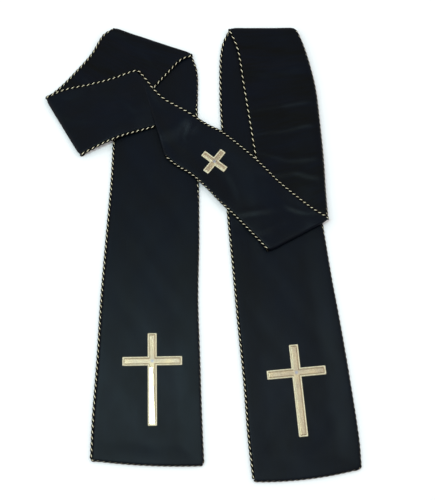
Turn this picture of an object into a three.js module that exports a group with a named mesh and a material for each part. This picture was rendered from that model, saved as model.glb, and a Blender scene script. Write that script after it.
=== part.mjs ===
// A clergy stole: a long band of black satin, folded over itself and laid flat.
// Millimetres, +Z up, the origin at the middle of its plan on the surface that it lies on.
// +Y points from the hems to the folds at the top. "Outer" is the long edge that runs round the
// outside of the neck, "inner" is the long edge that lies nearer the wearer's neck.

import {
  BufferGeometry, CatmullRomCurve3, ExtrudeGeometry, Float32BufferAttribute, Group, Mesh,
  MeshStandardMaterial, Shape, ShapeUtils, Vector2, Vector3,
} from 'three';

// Cloth and piping
const BAND_THICKNESS = 2.3;
const CLOTH_THICKNESS = 1.0;
const PIPING_RADIUS = 2.05;
const PIPING_SIDES = 8;
const SEAM_GAP = 0.3;
const EDGE_INSET = PIPING_RADIUS + SEAM_GAP + 0.25;
const FOLD_INSET = EDGE_INSET + 0.8;

// Each layer of the folded band takes up the height of its piping, and a gap. It lies level a
// little past the edge of the layer beneath, and comes down over the reach of its drape. Well
// inside that edge it sags, to lie on the cloth there.
const LAYER_PITCH = 2 * PIPING_RADIUS + 0.5;
const LEVEL_MARGIN = PIPING_RADIUS + 3;
const DRAPE_REACH = 44;
const SAG = LAYER_PITCH - BAND_THICKNESS - 0.6;
const SAG_REACH = 30;
const PLEAT_THICKNESS = 2 * BAND_THICKNESS + SEAM_GAP;
const PLEAT_RISE = 30;
const PLEAT_MARGIN = 9;
const PLEAT_FADE = 28;
const PLEAT_NOSE = { atApex: 0.5, full: PLEAT_THICKNESS / 2, degrees: [20, 50] };

// How far the cloth on each side of the pleat stops short of its two ends, where the piping is.
const TUCK_START = 2.3 * EDGE_INSET;
const TUCK_GAP = 1.5 * SEAM_GAP;
const NOSE_START = 3.6 * EDGE_INSET;
const NOSE_END = 1.6 * EDGE_INSET;

// Where the tucked cloth leaves the pleat's edge for the hidden fold line, from the apex.
const TUCK_TURN = { from: 51, over: 18 };

// A fold is a half turn about its line. Its tail is the short stretch that comes back under it.
const FOLD_RADIUS = LAYER_PITCH / 2;
const CREST_REACH = FOLD_RADIUS + BAND_THICKNESS / 2;
const TAIL = 1.2;
const FOLD_STEPS = 6;

// Rows and columns of the cloth
const CELL = 12;
const COLUMNS = 8;
const END_CELL = 24;
const END_COLUMNS = 6;
const PIPING_STEP = 13;
const PIPING_CORNER_STEP = 6;

// The four folds, as the outermost line of each, from the outer edge to the inner edge.
const FOLDS = {
  topLeft: { outer: [-125, 331], inner: [-9, 289.5] },
  topRight: { outer: [144, 331], inner: [46, 331] },
  neckLeft: { outer: [-220, 220], inner: [-167, 132] },
  neckRight: { outer: [185, 33], inner: [100, -13] },
};

// The pleat across the neck: its visible edge, and the hidden fold line beneath it.
const PLEAT = {
  apex: [-84, 258],
  edgeInner: [-46, 129],
  hiddenInner: [-20, 196],
  tuckedInner: [-61, 176],
};

// Middle lines of the piping, a row for each place along a stretch.
const LEFT_END = [
  { outer: [-141, -302], inner: [9, -309] },
  { outer: [-140, -249], inner: [6, -249] },
  { outer: [-136, -166], inner: [3, -166] },
  { outer: [-133, -82], inner: [0, -82] },
  { outer: [-128, 5], inner: [1, 5] },
  { outer: [-122, 110], inner: [0, 110] },
  { outer: [-121, 215], inner: [-2, 200] },
  { outer: [-124, 300], inner: [-3, 264] },
];
const RIGHT_END = [
  { outer: [220, -313], inner: [77, -330] },
  { outer: [218, -276], inner: [71, -276] },
  { outer: [208, -194], inner: [65, -194] },
  { outer: [196, -110], inner: [57, -110] },
  { outer: [187, -53], inner: [51, -40] },
  { outer: [179, 5], inner: [43, 50] },
  { outer: [166, 110], inner: [38, 130] },
  { outer: [153, 230], inner: [33, 230] },
  { outer: [147, 295], inner: [36, 302] },
];
const LEFT_RETURN = [
  { outer: [-139, 319], inner: [-25, 280] },
  { outer: [-156, 290], inner: [-47, 257] },
  { outer: [-177, 264], inner: [-72, 228] },
  { outer: [-197, 241], inner: [-115, 186] },
];
const RIGHT_RETURN = [
  { outer: [155, 298], inner: [58, 298] },
  { outer: [169, 240], inner: [67, 240] },
  { outer: [175, 180], inner: [76, 180] },
  { outer: [179, 125], inner: [84, 125] },
  { outer: [181, 75], inner: [93, 60] },
];
const NECK_OUTER_LEFT = [[-197, 231], [-175, 237], [-129, 247], [-106, 256], [-94, 261], [-87, 261]];
const NECK_INNER_LEFT = [[-148, 142], [-104, 162], [-80, 170]];
const NECK_OUTER_RIGHT = [
  [-75, 246], [-64, 231], [-48, 216], [-34, 208], [-11, 193], [18, 175], [32, 168], [51, 153],
  [85, 122], [114, 92], [148, 62], [165, 48],
];
const NECK_INNER_RIGHT = [[-33, 118], [-10, 103], [12, 84], [35, 59], [60, 33], [87, 3]];
const HEM_SAG = { left: 3, right: 5 };

// Soft ridges where the cloth was creased in storage, on the layer that each belongs to.
const RIDGES = [
  { layer: 'rightReturn', from: [76, 213], to: [160, 224], height: 1.3, width: 15 },
  { layer: 'rightReturn', from: [84, 176], to: [168, 186], height: 1.5, width: 16 },
  { layer: 'rightReturn', from: [100, 128], to: [172, 134], height: 1.0, width: 14 },
  { layer: 'rightReturn', from: [112, 90], to: [174, 98], height: 1.2, width: 13 },
  { layer: 'leftReturn', from: [-168, 262], to: [-146, 232], height: 1.2, width: 12 },
  { layer: 'leftReturn', from: [-74, 288], to: [-58, 256], height: 1.0, width: 11 },
  { layer: 'neckRight', from: [-4, 176], to: [-26, 134], height: 1.4, width: 16 },
  { layer: 'neckRight', from: [56, 50], to: [116, 60], height: 1.1, width: 13 },
];

// Crosses: the middle of the crossing, the lean, and the reach of each arm.
const CROSSES = [
  {
    name: 'cross_left', layer: 'ends', centre: [-61, -168], lean: 1,
    up: 39, down: 89, side: 41, bar: 12.5,
  },
  {
    name: 'cross_right', layer: 'ends', centre: [136.5, -184], lean: 5.4,
    up: 39, down: 88, side: 40.5, bar: 12.5,
  },
  {
    name: 'cross_neck', layer: 'neckRight', centre: [24, 120], lean: -37,
    up: 20.5, down: 20.5, side: 20.5, bar: 9.5,
  },
];
const CROSS_THICKNESS = 1.1;
const CROSS_BORDER = { width: 2.2, height: 0.5, slope: 0.3 };
const CROSS_STEP = 5;

const MATERIALS = {
  face: { color: 0x141a22, roughness: 0.45, metalness: 0 },
  lining: { color: 0x161c24, roughness: 0.42, metalness: 0 },
  piping: { color: 0x9a8a5c, roughness: 0.55, metalness: 0.1 },
  cross: { color: 0xcbb992, roughness: 0.4, metalness: 0.4 },
};

// Small plane geometry
const lerp = (a, b, t) => a + (b - a) * t;
const mix = (p, q, t) => p.clone().lerp(q, t);
const point = ([x, y]) => new Vector3(x, y, 0);

function smooth(t) {
  const clamped = Math.min(Math.max(t, 0), 1);
  return clamped * clamped * (3 - 2 * clamped);
}

const fade = (distance, reach) => 1 - smooth(distance / reach);

function distanceToSegment(p, a, b) {
  const along = new Vector2(b.x - a.x, b.y - a.y);
  const offset = new Vector2(p.x - a.x, p.y - a.y);
  const t = Math.min(Math.max(offset.dot(along) / along.lengthSq(), 0), 1);
  return offset.sub(along.multiplyScalar(t)).length();
}

// The distance from a point to a closed outline, less than zero inside it.
function signedDistance(p, outline) {
  let inside = false;
  let nearest = Infinity;
  outline.forEach((a, index) => {
    const b = outline[(index + 1) % outline.length];
    nearest = Math.min(nearest, distanceToSegment(p, a, b));
    const crosses = (a.y > p.y) !== (b.y > p.y);
    if (crosses && p.x < a.x + ((b.x - a.x) * (p.y - a.y)) / (b.y - a.y)) inside = !inside;
  });
  return inside ? -nearest : nearest;
}

// A smooth curve whose sections fall on its own points, so that they are closest round the folds.
class EvenCurve extends CatmullRomCurve3 {
  constructor(points) {
    super(points, false, 'centripetal');
  }

  getUtoTmapping(u) {
    return u;
  }
}

const smoothCurve = (points) => new CatmullRomCurve3(points, false, 'centripetal');

// A fold's own directions: along its line, and outward from the band.
function foldFrame(fold, insideHint) {
  const outer = point(fold.outer);
  const inner = point(fold.inner);
  const along = inner.clone().sub(outer).normalize();
  const out = new Vector3(-along.y, along.x, 0);
  if (out.dot(point(insideHint).sub(outer)) > 0) out.negate();
  return { outer, inner, along, out };
}

const FOLD = {
  topLeft: foldFrame(FOLDS.topLeft, [-60, 0]),
  topRight: foldFrame(FOLDS.topRight, [100, 0]),
  neckLeft: foldFrame(FOLDS.neckLeft, [0, 220]),
  neckRight: foldFrame(FOLDS.neckRight, [60, 200]),
};

// A point across a fold, from its outer end (0) to its inner end (1), set back from the crest.
function foldPoint(fold, across, setback, inset = 0) {
  const from = fold.outer.clone().addScaledVector(fold.along, inset);
  const to = fold.inner.clone().addScaledVector(fold.along, -inset);
  return mix(from, to, across).addScaledVector(fold.out, -setback);
}

const PLEAT_APEX = point(PLEAT.apex);
const PLEAT_EDGE_INNER = point(PLEAT.edgeInner);
const PLEAT_HIDDEN_INNER = point(PLEAT.hiddenInner);
const PLEAT_TUCKED_INNER = point(PLEAT.tuckedInner);
const PLEAT_ALONG = PLEAT_EDGE_INNER.clone().sub(PLEAT_APEX).normalize();
const PLEAT_OUT = new Vector3(PLEAT_ALONG.y, -PLEAT_ALONG.x, 0);

// Middle lines of the piping on both edges of each stretch, ending on the folds' crest side.
function edgeLine(rows, edge, startFold, endFold) {
  const points = rows.map((row) => point(row[edge]));
  const across = edge === 'outer' ? 0 : 1;
  if (startFold) points.unshift(foldPoint(startFold, across, CREST_REACH));
  if (endFold) points.push(foldPoint(endFold, across, CREST_REACH));
  return points;
}

const EDGES = {
  leftEnd: {
    outer: edgeLine(LEFT_END, 'outer', null, FOLD.topLeft),
    inner: edgeLine(LEFT_END, 'inner', null, FOLD.topLeft),
  },
  rightEnd: {
    outer: edgeLine(RIGHT_END, 'outer', null, FOLD.topRight),
    inner: edgeLine(RIGHT_END, 'inner', null, FOLD.topRight),
  },
  leftReturn: {
    outer: edgeLine(LEFT_RETURN, 'outer', FOLD.topLeft, FOLD.neckLeft),
    inner: edgeLine(LEFT_RETURN, 'inner', FOLD.topLeft, FOLD.neckLeft),
  },
  rightReturn: {
    outer: edgeLine(RIGHT_RETURN, 'outer', FOLD.topRight, FOLD.neckRight),
    inner: edgeLine(RIGHT_RETURN, 'inner', FOLD.topRight, FOLD.neckRight),
  },
  neckLeft: {
    outer: [foldPoint(FOLD.neckLeft, 0, CREST_REACH), ...NECK_OUTER_LEFT.map(point), PLEAT_APEX],
    inner: [
      foldPoint(FOLD.neckLeft, 1, CREST_REACH), ...NECK_INNER_LEFT.map(point),
      PLEAT_TUCKED_INNER, PLEAT_HIDDEN_INNER,
    ],
  },
  neckRight: {
    outer: [PLEAT_APEX, ...NECK_OUTER_RIGHT.map(point), foldPoint(FOLD.neckRight, 0, CREST_REACH)],
    inner: [
      PLEAT_EDGE_INNER, ...NECK_INNER_RIGHT.map(point), foldPoint(FOLD.neckRight, 1, CREST_REACH),
    ],
  },
};

// The plan outline of a stretch, out to the crests of its folds.
function footprint(stretch, startFold, endFold) {
  const { outer, inner } = EDGES[stretch];
  const outline = smoothCurve(outer).getPoints(outer.length * 3);
  if (endFold) outline.push(foldPoint(endFold, 0, 0), foldPoint(endFold, 1, 0));
  outline.push(...smoothCurve(inner).getPoints(inner.length * 3).reverse());
  if (startFold) outline.push(foldPoint(startFold, 1, 0), foldPoint(startFold, 0, 0));
  return outline;
}

const FOOTPRINTS = {
  leftEnd: footprint('leftEnd', null, FOLD.topLeft),
  rightEnd: footprint('rightEnd', null, FOLD.topRight),
  leftReturn: footprint('leftReturn', FOLD.topLeft, FOLD.neckLeft),
  rightReturn: footprint('rightReturn', FOLD.topRight, FOLD.neckRight),
};
const PLEAT_TUCKED = [PLEAT_APEX, PLEAT_TUCKED_INNER, PLEAT_HIDDEN_INNER];
const PLEAT_FLAP = [PLEAT_APEX, PLEAT_EDGE_INNER, PLEAT_HIDDEN_INNER];

// What lies under each layer, a list for each level below it, and whose ridges show through it.
const ENDS = ['leftEnd', 'rightEnd'];
const RETURNS = ['leftReturn', 'rightReturn'];
const BENEATH = {
  ends: { levels: [], ridges: [] },
  leftReturn: { levels: [ENDS], ridges: ['leftReturn'] },
  rightReturn: { levels: [ENDS], ridges: ['rightReturn'] },
  neckLeft: { levels: [ENDS, RETURNS], ridges: RETURNS },
  neckRight: { levels: [ENDS, RETURNS], ridges: [...RETURNS, 'neckRight'] },
};

function ridgeHeight(p, layers) {
  return RIDGES.filter((ridge) => layers.includes(ridge.layer)).reduce((sum, ridge) => {
    const distance = distanceToSegment(p, point(ridge.from), point(ridge.to));
    return sum + ridge.height * fade(distance, ridge.width);
  }, 0);
}

// How much of the pleat's height is reached, from nothing at its apex.
const pleatGrowth = (p) => smooth(p.distanceTo(PLEAT_APEX) / PLEAT_RISE);

function pleatLift(p) {
  const flat = new Vector3(p.x, p.y, 0);
  const layer = BAND_THICKNESS + 2 * SEAM_GAP;
  const distance = signedDistance(flat, PLEAT_TUCKED) - PLEAT_MARGIN;
  return pleatGrowth(flat) * layer * fade(distance, PLEAT_FADE);
}

// The hidden flap of the pleat makes the band thicker over its own triangle.
function flapThickness(p) {
  const flat = new Vector3(p.x, p.y, 0);
  const extra = PLEAT_THICKNESS - BAND_THICKNESS;
  return pleatGrowth(flat) * extra * fade(signedDistance(flat, PLEAT_FLAP), PLEAT_FADE);
}

// The height at which a layer's underside lies over a point of the plan.
function bedHeight(p, layer) {
  const { levels, ridges } = BENEATH[layer];
  const flat = new Vector3(p.x, p.y, 0);
  const levelLift = (names) => {
    const distances = names.map((name) => signedDistance(flat, FOOTPRINTS[name]));
    const free = distances.map((distance) => smooth((distance - LEVEL_MARGIN) / DRAPE_REACH));
    const sags = distances.map((distance) => smooth((-distance - LEVEL_MARGIN) / SAG_REACH));
    const held = 1 - free.reduce((product, value) => product * value, 1);
    return LAYER_PITCH * held - SAG * Math.max(...sags);
  };
  const lift = levels.reduce((sum, names) => sum + levelLift(names), 0);
  return lift + ridgeHeight(flat, ridges) + (layer === 'neckRight' ? pleatLift(flat) : 0);
}

// A patch between four border lines: two edges and the rows at its two ends.
function patch(outerLine, innerLine, startRow, endRow) {
  return (along, across) => {
    const outer = outerLine.getPointAt(along);
    const inner = innerLine.getPointAt(along);
    const start = startRow(across);
    const end = endRow(across);
    const ruled = mix(outer, inner, across).add(mix(start, end, along));
    const startCorners = mix(startRow(0), startRow(1), across);
    const endCorners = mix(endRow(0), endRow(1), across);
    return ruled.sub(mix(startCorners, endCorners, along));
  };
}

// An edge line moved in towards the cloth. The points at its ends are given.
function insetLine(points, inward, first, last) {
  const curve = new EvenCurve(points);
  const moved = points.slice(1, -1).map((p, index) => {
    const tangent = curve.getTangent((index + 1) / (points.length - 1));
    const normal = new Vector3(-tangent.y, tangent.x, 0).multiplyScalar(EDGE_INSET * inward);
    return p.clone().add(normal);
  });
  return smoothCurve([first, ...moved, last]);
}

// Turns rows of { upper, lower } points into one closed wall.
function wallGeometry(rows) {
  const columns = rows[0].length;
  const positions = [];
  const faces = [];
  rows.forEach((row) => row.forEach(({ upper, lower }) => {
    positions.push(upper.x, upper.y, upper.z, lower.x, lower.y, lower.z);
  }));
  const upperIndex = (row, column) => 2 * (row * columns + column);
  const lowerIndex = (row, column) => upperIndex(row, column) + 1;
  const quad = (a, b, c, d) => faces.push(a, b, c, a, c, d);
  const lastRow = rows.length - 1;
  const lastColumn = columns - 1;
  for (let row = 0; row < lastRow; row += 1) {
    for (let column = 0; column < lastColumn; column += 1) {
      quad(
        upperIndex(row, column), upperIndex(row + 1, column),
        upperIndex(row + 1, column + 1), upperIndex(row, column + 1),
      );
      quad(
        lowerIndex(row, column), lowerIndex(row, column + 1),
        lowerIndex(row + 1, column + 1), lowerIndex(row + 1, column),
      );
    }
    quad(
      upperIndex(row, 0), lowerIndex(row, 0),
      lowerIndex(row + 1, 0), upperIndex(row + 1, 0),
    );
    quad(
      upperIndex(row, lastColumn), upperIndex(row + 1, lastColumn),
      lowerIndex(row + 1, lastColumn), lowerIndex(row, lastColumn),
    );
  }
  for (let column = 0; column < lastColumn; column += 1) {
    quad(
      upperIndex(0, column), upperIndex(0, column + 1),
      lowerIndex(0, column + 1), lowerIndex(0, column),
    );
    quad(
      upperIndex(lastRow, column), lowerIndex(lastRow, column),
      lowerIndex(lastRow, column + 1), upperIndex(lastRow, column + 1),
    );
  }
  return closedGeometry(positions, faces);
}

// Makes a geometry whose faces point out, whichever way round they were listed.
function closedGeometry(positions, faces) {
  const corner = (index) => new Vector3().fromArray(positions, index * 3);
  let volume = 0;
  for (let face = 0; face < faces.length; face += 3) {
    const [a, b, c] = faces.slice(face, face + 3).map(corner);
    volume += a.dot(b.cross(c));
  }
  if (volume < 0) faces.reverse();
  const geometry = new BufferGeometry();
  geometry.setAttribute('position', new Float32BufferAttribute(positions, 3));
  geometry.setIndex(faces);
  geometry.computeVertexNormals();
  return geometry;
}

// One row of a wall that lies on its bed, between two heights above it.
function flatRow(surface, along, layer, bottom, top, columns = COLUMNS) {
  return Array.from({ length: columns + 1 }, (_, column) => {
    const p = surface(along, column / columns);
    const bed = bedHeight(p, layer);
    return {
      upper: new Vector3(p.x, p.y, bed + top),
      lower: new Vector3(p.x, p.y, bed + bottom),
    };
  });
}

// Rows for the half turn of a fold, from the upper layer round to the tail under it.
function foldRows(fold, upperLayer, lowerLayer, bottom, top) {
  const middle = BAND_THICKNESS / 2;
  const turns = Array.from({ length: FOLD_STEPS }, (_, step) => (Math.PI * (step + 1)) / FOLD_STEPS);
  const turnRow = (angle, back) => Array.from({ length: COLUMNS + 1 }, (_, column) => {
    const foot = foldPoint(fold, column / COLUMNS, CREST_REACH, FOLD_INSET);
    const low = bedHeight(foot, lowerLayer) + middle;
    const high = bedHeight(foot, upperLayer) + middle;
    const centre = foot.clone().addScaledVector(fold.out, -back).setZ((low + high) / 2);
    const at = (offset) => {
      const radius = (high - low) / 2 + offset;
      const reach = centre.clone().addScaledVector(fold.out, radius * Math.sin(angle));
      return reach.setZ(centre.z + radius * Math.cos(angle));
    };
    return { upper: at(top - middle), lower: at(bottom - middle) };
  });
  return [...turns.map((angle) => turnRow(angle, 0)), turnRow(Math.PI, TAIL)];
}

// How far a stretch stops short of the crest where its neighbour's tail comes under it.
const BUTT_SETBACK = CREST_REACH + TAIL + SEAM_GAP;

const rowCount = (line) => Math.round(line.getLength() / CELL);

function flatRows(surface, count, layer, bottom, top, columns) {
  return Array.from({ length: count + 1 }, (_, row) => (
    flatRow(surface, row / count, layer, bottom, top, columns)
  ));
}

// Where an edge of the cloth stops at a given setback from a crest. It runs from its corner on
// the fold towards the nearest point of its own edge line.
function edgeStop(fold, across, edgePoints, setback) {
  const corner = foldPoint(fold, across, CREST_REACH, FOLD_INSET);
  const foldEnd = foldPoint(fold, across, CREST_REACH);
  const direction = edgePoints.at(-2).clone().sub(foldEnd).normalize();
  const distance = (setback - CREST_REACH) / -direction.dot(fold.out);
  return corner.addScaledVector(direction, distance);
}

function endRow(fold, outer, inner, setback) {
  const from = edgeStop(fold, 0, outer, setback);
  const to = edgeStop(fold, 1, inner, setback);
  return (across) => mix(from, to, across);
}

// An end panel, from its sagging hem to the tail of the fold above it.
function endPanel(stretch, fold, sag, inward) {
  const { outer, inner } = EDGES[stretch];
  const hemOuter = outer[0].clone().add(new Vector3(-EDGE_INSET * inward, EDGE_INSET, 0));
  const hemInner = inner[0].clone().add(new Vector3(EDGE_INSET * inward, EDGE_INSET, 0));
  const hem = (across) => mix(hemOuter, hemInner, across)
    .add(new Vector3(0, -4 * sag * across * (1 - across), 0));
  const end = endRow(fold, outer, inner, BUTT_SETBACK);
  const outerLine = insetLine(outer, inward, hemOuter, end(0));
  const innerLine = insetLine(inner, -inward, hemInner, end(1));
  const surface = patch(outerLine, innerLine, hem, end);
  const rows = Math.round(outerLine.getLength() / END_CELL);
  return wallGeometry(flatRows(surface, rows, 'ends', 0, BAND_THICKNESS, END_COLUMNS));
}

// A returned stretch: one cloth of it, wrapping the top fold and stopping at the neck fold.
function returnCloth(stretch, topFold, neckFold, inward, bottom, top) {
  const { outer, inner } = EDGES[stretch];
  const start = (across) => foldPoint(topFold, across, CREST_REACH, FOLD_INSET);
  const end = endRow(neckFold, outer, inner, BUTT_SETBACK);
  const outerLine = insetLine(outer, inward, start(0), end(0));
  const innerLine = insetLine(inner, -inward, start(1), end(1));
  const surface = patch(outerLine, innerLine, start, end);
  const turned = foldRows(topFold, stretch, 'ends', bottom, top).reverse();
  return wallGeometry([
    ...turned, ...flatRows(surface, rowCount(innerLine), stretch, bottom, top),
  ]);
}

// The end row of the neck's left part: it meets the pleat's edge near the apex, then runs on
// under the pleat to the hidden fold line.
function tuckedRow(across) {
  const hidden = PLEAT_HIDDEN_INNER.clone().sub(PLEAT_APEX);
  const reach = lerp(TUCK_START, hidden.length() - EDGE_INSET, across);
  const underPleat = smooth((reach - TUCK_TURN.from) / TUCK_TURN.over);
  const direction = mix(PLEAT_ALONG, hidden.normalize(), underPleat);
  const place = PLEAT_APEX.clone().addScaledVector(direction, reach);
  return place.addScaledVector(PLEAT_OUT, TUCK_GAP);
}

function neckLeft() {
  const { outer, inner } = EDGES.neckLeft;
  const start = (across) => foldPoint(FOLD.neckLeft, across, CREST_REACH, FOLD_INSET);
  const outerLine = insetLine(outer, -1, start(0), tuckedRow(0));
  const innerLine = insetLine(inner, 1, start(1), tuckedRow(1));
  const surface = patch(outerLine, innerLine, start, tuckedRow);
  const turned = foldRows(FOLD.neckLeft, 'neckLeft', 'leftReturn', 0, BAND_THICKNESS).reverse();
  return wallGeometry([
    ...turned,
    ...flatRows(surface, rowCount(innerLine), 'neckLeft', 0, BAND_THICKNESS),
  ]);
}

// The right part starts in the rounded edge of the pleat, thicker there by the flap beneath it.
function neckRight() {
  const { outer, inner } = EDGES.neckRight;
  const from = PLEAT_APEX.clone().addScaledVector(PLEAT_ALONG, NOSE_START);
  const to = PLEAT_EDGE_INNER.clone().addScaledVector(PLEAT_ALONG, -NOSE_END);
  const noseDepth = (p) => lerp(PLEAT_NOSE.atApex, PLEAT_NOSE.full, pleatGrowth(p));
  const start = (across) => {
    const crest = mix(from, to, across);
    return crest.clone().addScaledVector(PLEAT_OUT, -noseDepth(crest));
  };
  const end = (across) => foldPoint(FOLD.neckRight, across, CREST_REACH, FOLD_INSET);
  const outerLine = insetLine(outer, -1, start(0), end(0));
  const innerLine = insetLine(inner, 1, start(1), end(1));
  const surface = patch(outerLine, innerLine, start, end);
  const pleatRow = (along) => flatRow(surface, along, 'neckRight', 0, BAND_THICKNESS)
    .map(({ upper, lower }) => {
      const flap = flapThickness(upper);
      return { upper: upper.setZ(upper.z + flap), lower };
    });
  const count = rowCount(outerLine);
  const rows = Array.from({ length: count + 1 }, (_, row) => pleatRow(row / count));
  const nose = PLEAT_NOSE.degrees.map((degrees) => {
    const angle = (degrees * Math.PI) / 180;
    return pleatRow(0).map(({ upper, lower }) => {
      const middle = (upper.z + lower.z) / 2;
      const half = ((upper.z - lower.z) / 2) * Math.sin(angle);
      const reach = lower.clone().addScaledVector(PLEAT_OUT, noseDepth(lower) * Math.cos(angle));
      return { upper: reach.clone().setZ(middle + half), lower: reach.clone().setZ(middle - half) };
    });
  });
  return wallGeometry([
    ...nose, ...rows, ...foldRows(FOLD.neckRight, 'neckRight', 'rightReturn', 0, BAND_THICKNESS),
  ]);
}

// Piping: points along an edge of a stretch, raised to the middle of the cord.
function pipingAt(p, layer) {
  const flap = layer === 'neckRight' ? flapThickness(p) : 0;
  return new Vector3(p.x, p.y, bedHeight(p, layer) + PIPING_RADIUS + flap);
}

function pipingAlong(points, layer, step = PIPING_STEP) {
  const line = smoothCurve(points);
  const count = Math.round(line.getLength() / step);
  return Array.from({ length: count - 1 }, (_, index) => (
    pipingAt(line.getPointAt((index + 1) / count), layer)
  ));
}

// The half turn of the piping round the end of a fold, from the layer below to the layer above.
function pipingTurn(fold, edge, lowerLayer, upperLayer) {
  const foot = foldPoint(fold, edge === 'outer' ? 0 : 1, CREST_REACH);
  const low = bedHeight(foot, lowerLayer) + PIPING_RADIUS;
  const high = bedHeight(foot, upperLayer) + PIPING_RADIUS;
  const radius = (high - low) / 2;
  return Array.from({ length: FOLD_STEPS + 1 }, (_, step) => {
    const angle = (Math.PI * step) / FOLD_STEPS;
    const reach = foot.clone().addScaledVector(fold.out, radius * Math.sin(angle));
    return reach.setZ((low + high) / 2 - radius * Math.cos(angle));
  });
}

function pipingGeometry(points) {
  const section = new Shape();
  Array.from({ length: PIPING_SIDES }, (_, side) => (2 * Math.PI * side) / PIPING_SIDES)
    .map((angle) => [PIPING_RADIUS * Math.cos(angle), PIPING_RADIUS * Math.sin(angle)])
    .forEach(([x, y], index) => (index ? section.lineTo(x, y) : section.moveTo(x, y)));
  section.closePath();
  return new ExtrudeGeometry(section, {
    steps: points.length - 1, bevelEnabled: false, extrudePath: new EvenCurve(points),
  });
}

// The hem's piping, from the outer corner to the inner corner, rounded at both.
function hemPiping(stretch, sag) {
  const from = EDGES[stretch].outer[0];
  const to = EDGES[stretch].inner[0];
  const count = Math.round(from.distanceTo(to) / PIPING_STEP);
  return Array.from({ length: count + 1 }, (_, index) => {
    const across = index / count;
    const drop = 4 * sag * across * (1 - across);
    return mix(from, to, across).add(new Vector3(0, -drop, PIPING_RADIUS));
  });
}

// The piping of the outer edge runs on from hem to hem, and takes both hems with it.
function outerPiping() {
  return [
    ...hemPiping('leftEnd', HEM_SAG.left).reverse(),
    ...pipingAlong(EDGES.leftEnd.outer, 'ends'),
    ...pipingTurn(FOLD.topLeft, 'outer', 'ends', 'leftReturn'),
    ...pipingAlong(EDGES.leftReturn.outer, 'leftReturn'),
    ...pipingTurn(FOLD.neckLeft, 'outer', 'leftReturn', 'neckLeft'),
    ...pipingAlong(EDGES.neckLeft.outer, 'neckLeft', PIPING_CORNER_STEP),
    pipingAt(PLEAT_APEX, 'neckLeft'),
    ...pipingAlong(EDGES.neckRight.outer, 'neckRight'),
    ...pipingTurn(FOLD.neckRight, 'outer', 'rightReturn', 'neckRight').reverse(),
    ...pipingAlong(EDGES.rightReturn.outer, 'rightReturn').reverse(),
    ...pipingTurn(FOLD.topRight, 'outer', 'ends', 'rightReturn').reverse(),
    ...pipingAlong(EDGES.rightEnd.outer, 'ends').reverse(),
    ...hemPiping('rightEnd', HEM_SAG.right),
  ];
}

// The inner edge's piping starts just clear of the hem's.
function innerStart(stretch) {
  const [corner, next] = EDGES[stretch].inner;
  const direction = next.clone().sub(corner).normalize();
  return corner.clone().addScaledVector(direction, EDGE_INSET).setZ(PIPING_RADIUS);
}

function innerPipingLeft() {
  const shown = EDGES.neckLeft.inner.slice(0, -1);
  const last = shown.at(-1).clone().addScaledVector(PLEAT_OUT, SEAM_GAP);
  return [
    innerStart('leftEnd'),
    ...pipingAlong(EDGES.leftEnd.inner, 'ends'),
    ...pipingTurn(FOLD.topLeft, 'inner', 'ends', 'leftReturn'),
    ...pipingAlong(EDGES.leftReturn.inner, 'leftReturn'),
    ...pipingTurn(FOLD.neckLeft, 'inner', 'leftReturn', 'neckLeft'),
    ...pipingAlong(shown, 'neckLeft'),
    pipingAt(last, 'neckLeft'),
  ];
}

function innerPipingRight() {
  return [
    innerStart('rightEnd'),
    ...pipingAlong(EDGES.rightEnd.inner, 'ends'),
    ...pipingTurn(FOLD.topRight, 'inner', 'ends', 'rightReturn'),
    ...pipingAlong(EDGES.rightReturn.inner, 'rightReturn'),
    ...pipingTurn(FOLD.neckRight, 'inner', 'rightReturn', 'neckRight'),
    ...pipingAlong(EDGES.neckRight.inner, 'neckRight').reverse(),
    pipingAt(PLEAT_EDGE_INNER, 'neckRight'),
  ];
}

// The outline of a cross about its crossing, drawn in by an inset, with points along its arms.
function crossOutline({ layer, up, down, side, bar, lean }, inset) {
  const half = bar / 2 - inset;
  const corners = [
    [half, half], [half, up - inset], [-half, up - inset], [-half, half],
    [inset - side, half], [inset - side, -half], [-half, -half], [-half, inset - down],
    [half, inset - down], [half, -half], [side - inset, -half], [side - inset, half],
  ];
  const full = [up, bar, up, side, bar, side, down, bar, down, side, bar, side];
  const turn = (lean * Math.PI) / 180;
  return corners.flatMap(([x, y], index) => {
    const [nextX, nextY] = corners[(index + 1) % corners.length];
    const steps = layer === 'ends' ? 1 : Math.round(full[index] / CROSS_STEP);
    return Array.from({ length: steps }, (_, step) => (
      new Vector2(lerp(x, nextX, step / steps), lerp(y, nextY, step / steps))
        .rotateAround(new Vector2(), turn)
    ));
  });
}

// A cross is a thin plate with a raised border, laid on the surface of its panel.
function crossGeometry(cross) {
  const base = BAND_THICKNESS + SEAM_GAP;
  const ridge = base + CROSS_THICKNESS + CROSS_BORDER.height;
  const levels = [
    { inset: 0, height: base },
    { inset: 0, height: ridge },
    { inset: CROSS_BORDER.width, height: ridge },
    { inset: CROSS_BORDER.width + CROSS_BORDER.slope, height: base + CROSS_THICKNESS },
  ];
  const loops = levels.map(({ inset, height }) => crossOutline(cross, inset).map((p) => {
    const place = new Vector3(p.x + cross.centre[0], p.y + cross.centre[1], 0);
    return place.setZ(bedHeight(place, cross.layer) + height);
  }));
  const size = loops[0].length;
  const positions = loops.flat().flatMap((p) => p.toArray());
  const faces = [];
  for (let level = 0; level < loops.length - 1; level += 1) {
    for (let index = 0; index < size; index += 1) {
      const a = level * size + index;
      const b = level * size + ((index + 1) % size);
      faces.push(a, b, b + size, a, b + size, a + size);
    }
  }
  const cap = (level, flip) => {
    const outline = loops[level].map((p) => new Vector2(p.x, p.y));
    ShapeUtils.triangulateShape(outline, []).forEach(([a, b, c]) => {
      const [first, third] = flip ? [c, a] : [a, c];
      faces.push(level * size + first, level * size + b, level * size + third);
    });
  };
  cap(0, true);
  cap(loops.length - 1, false);
  return closedGeometry(positions, faces);
}

const stole = new Group();

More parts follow.
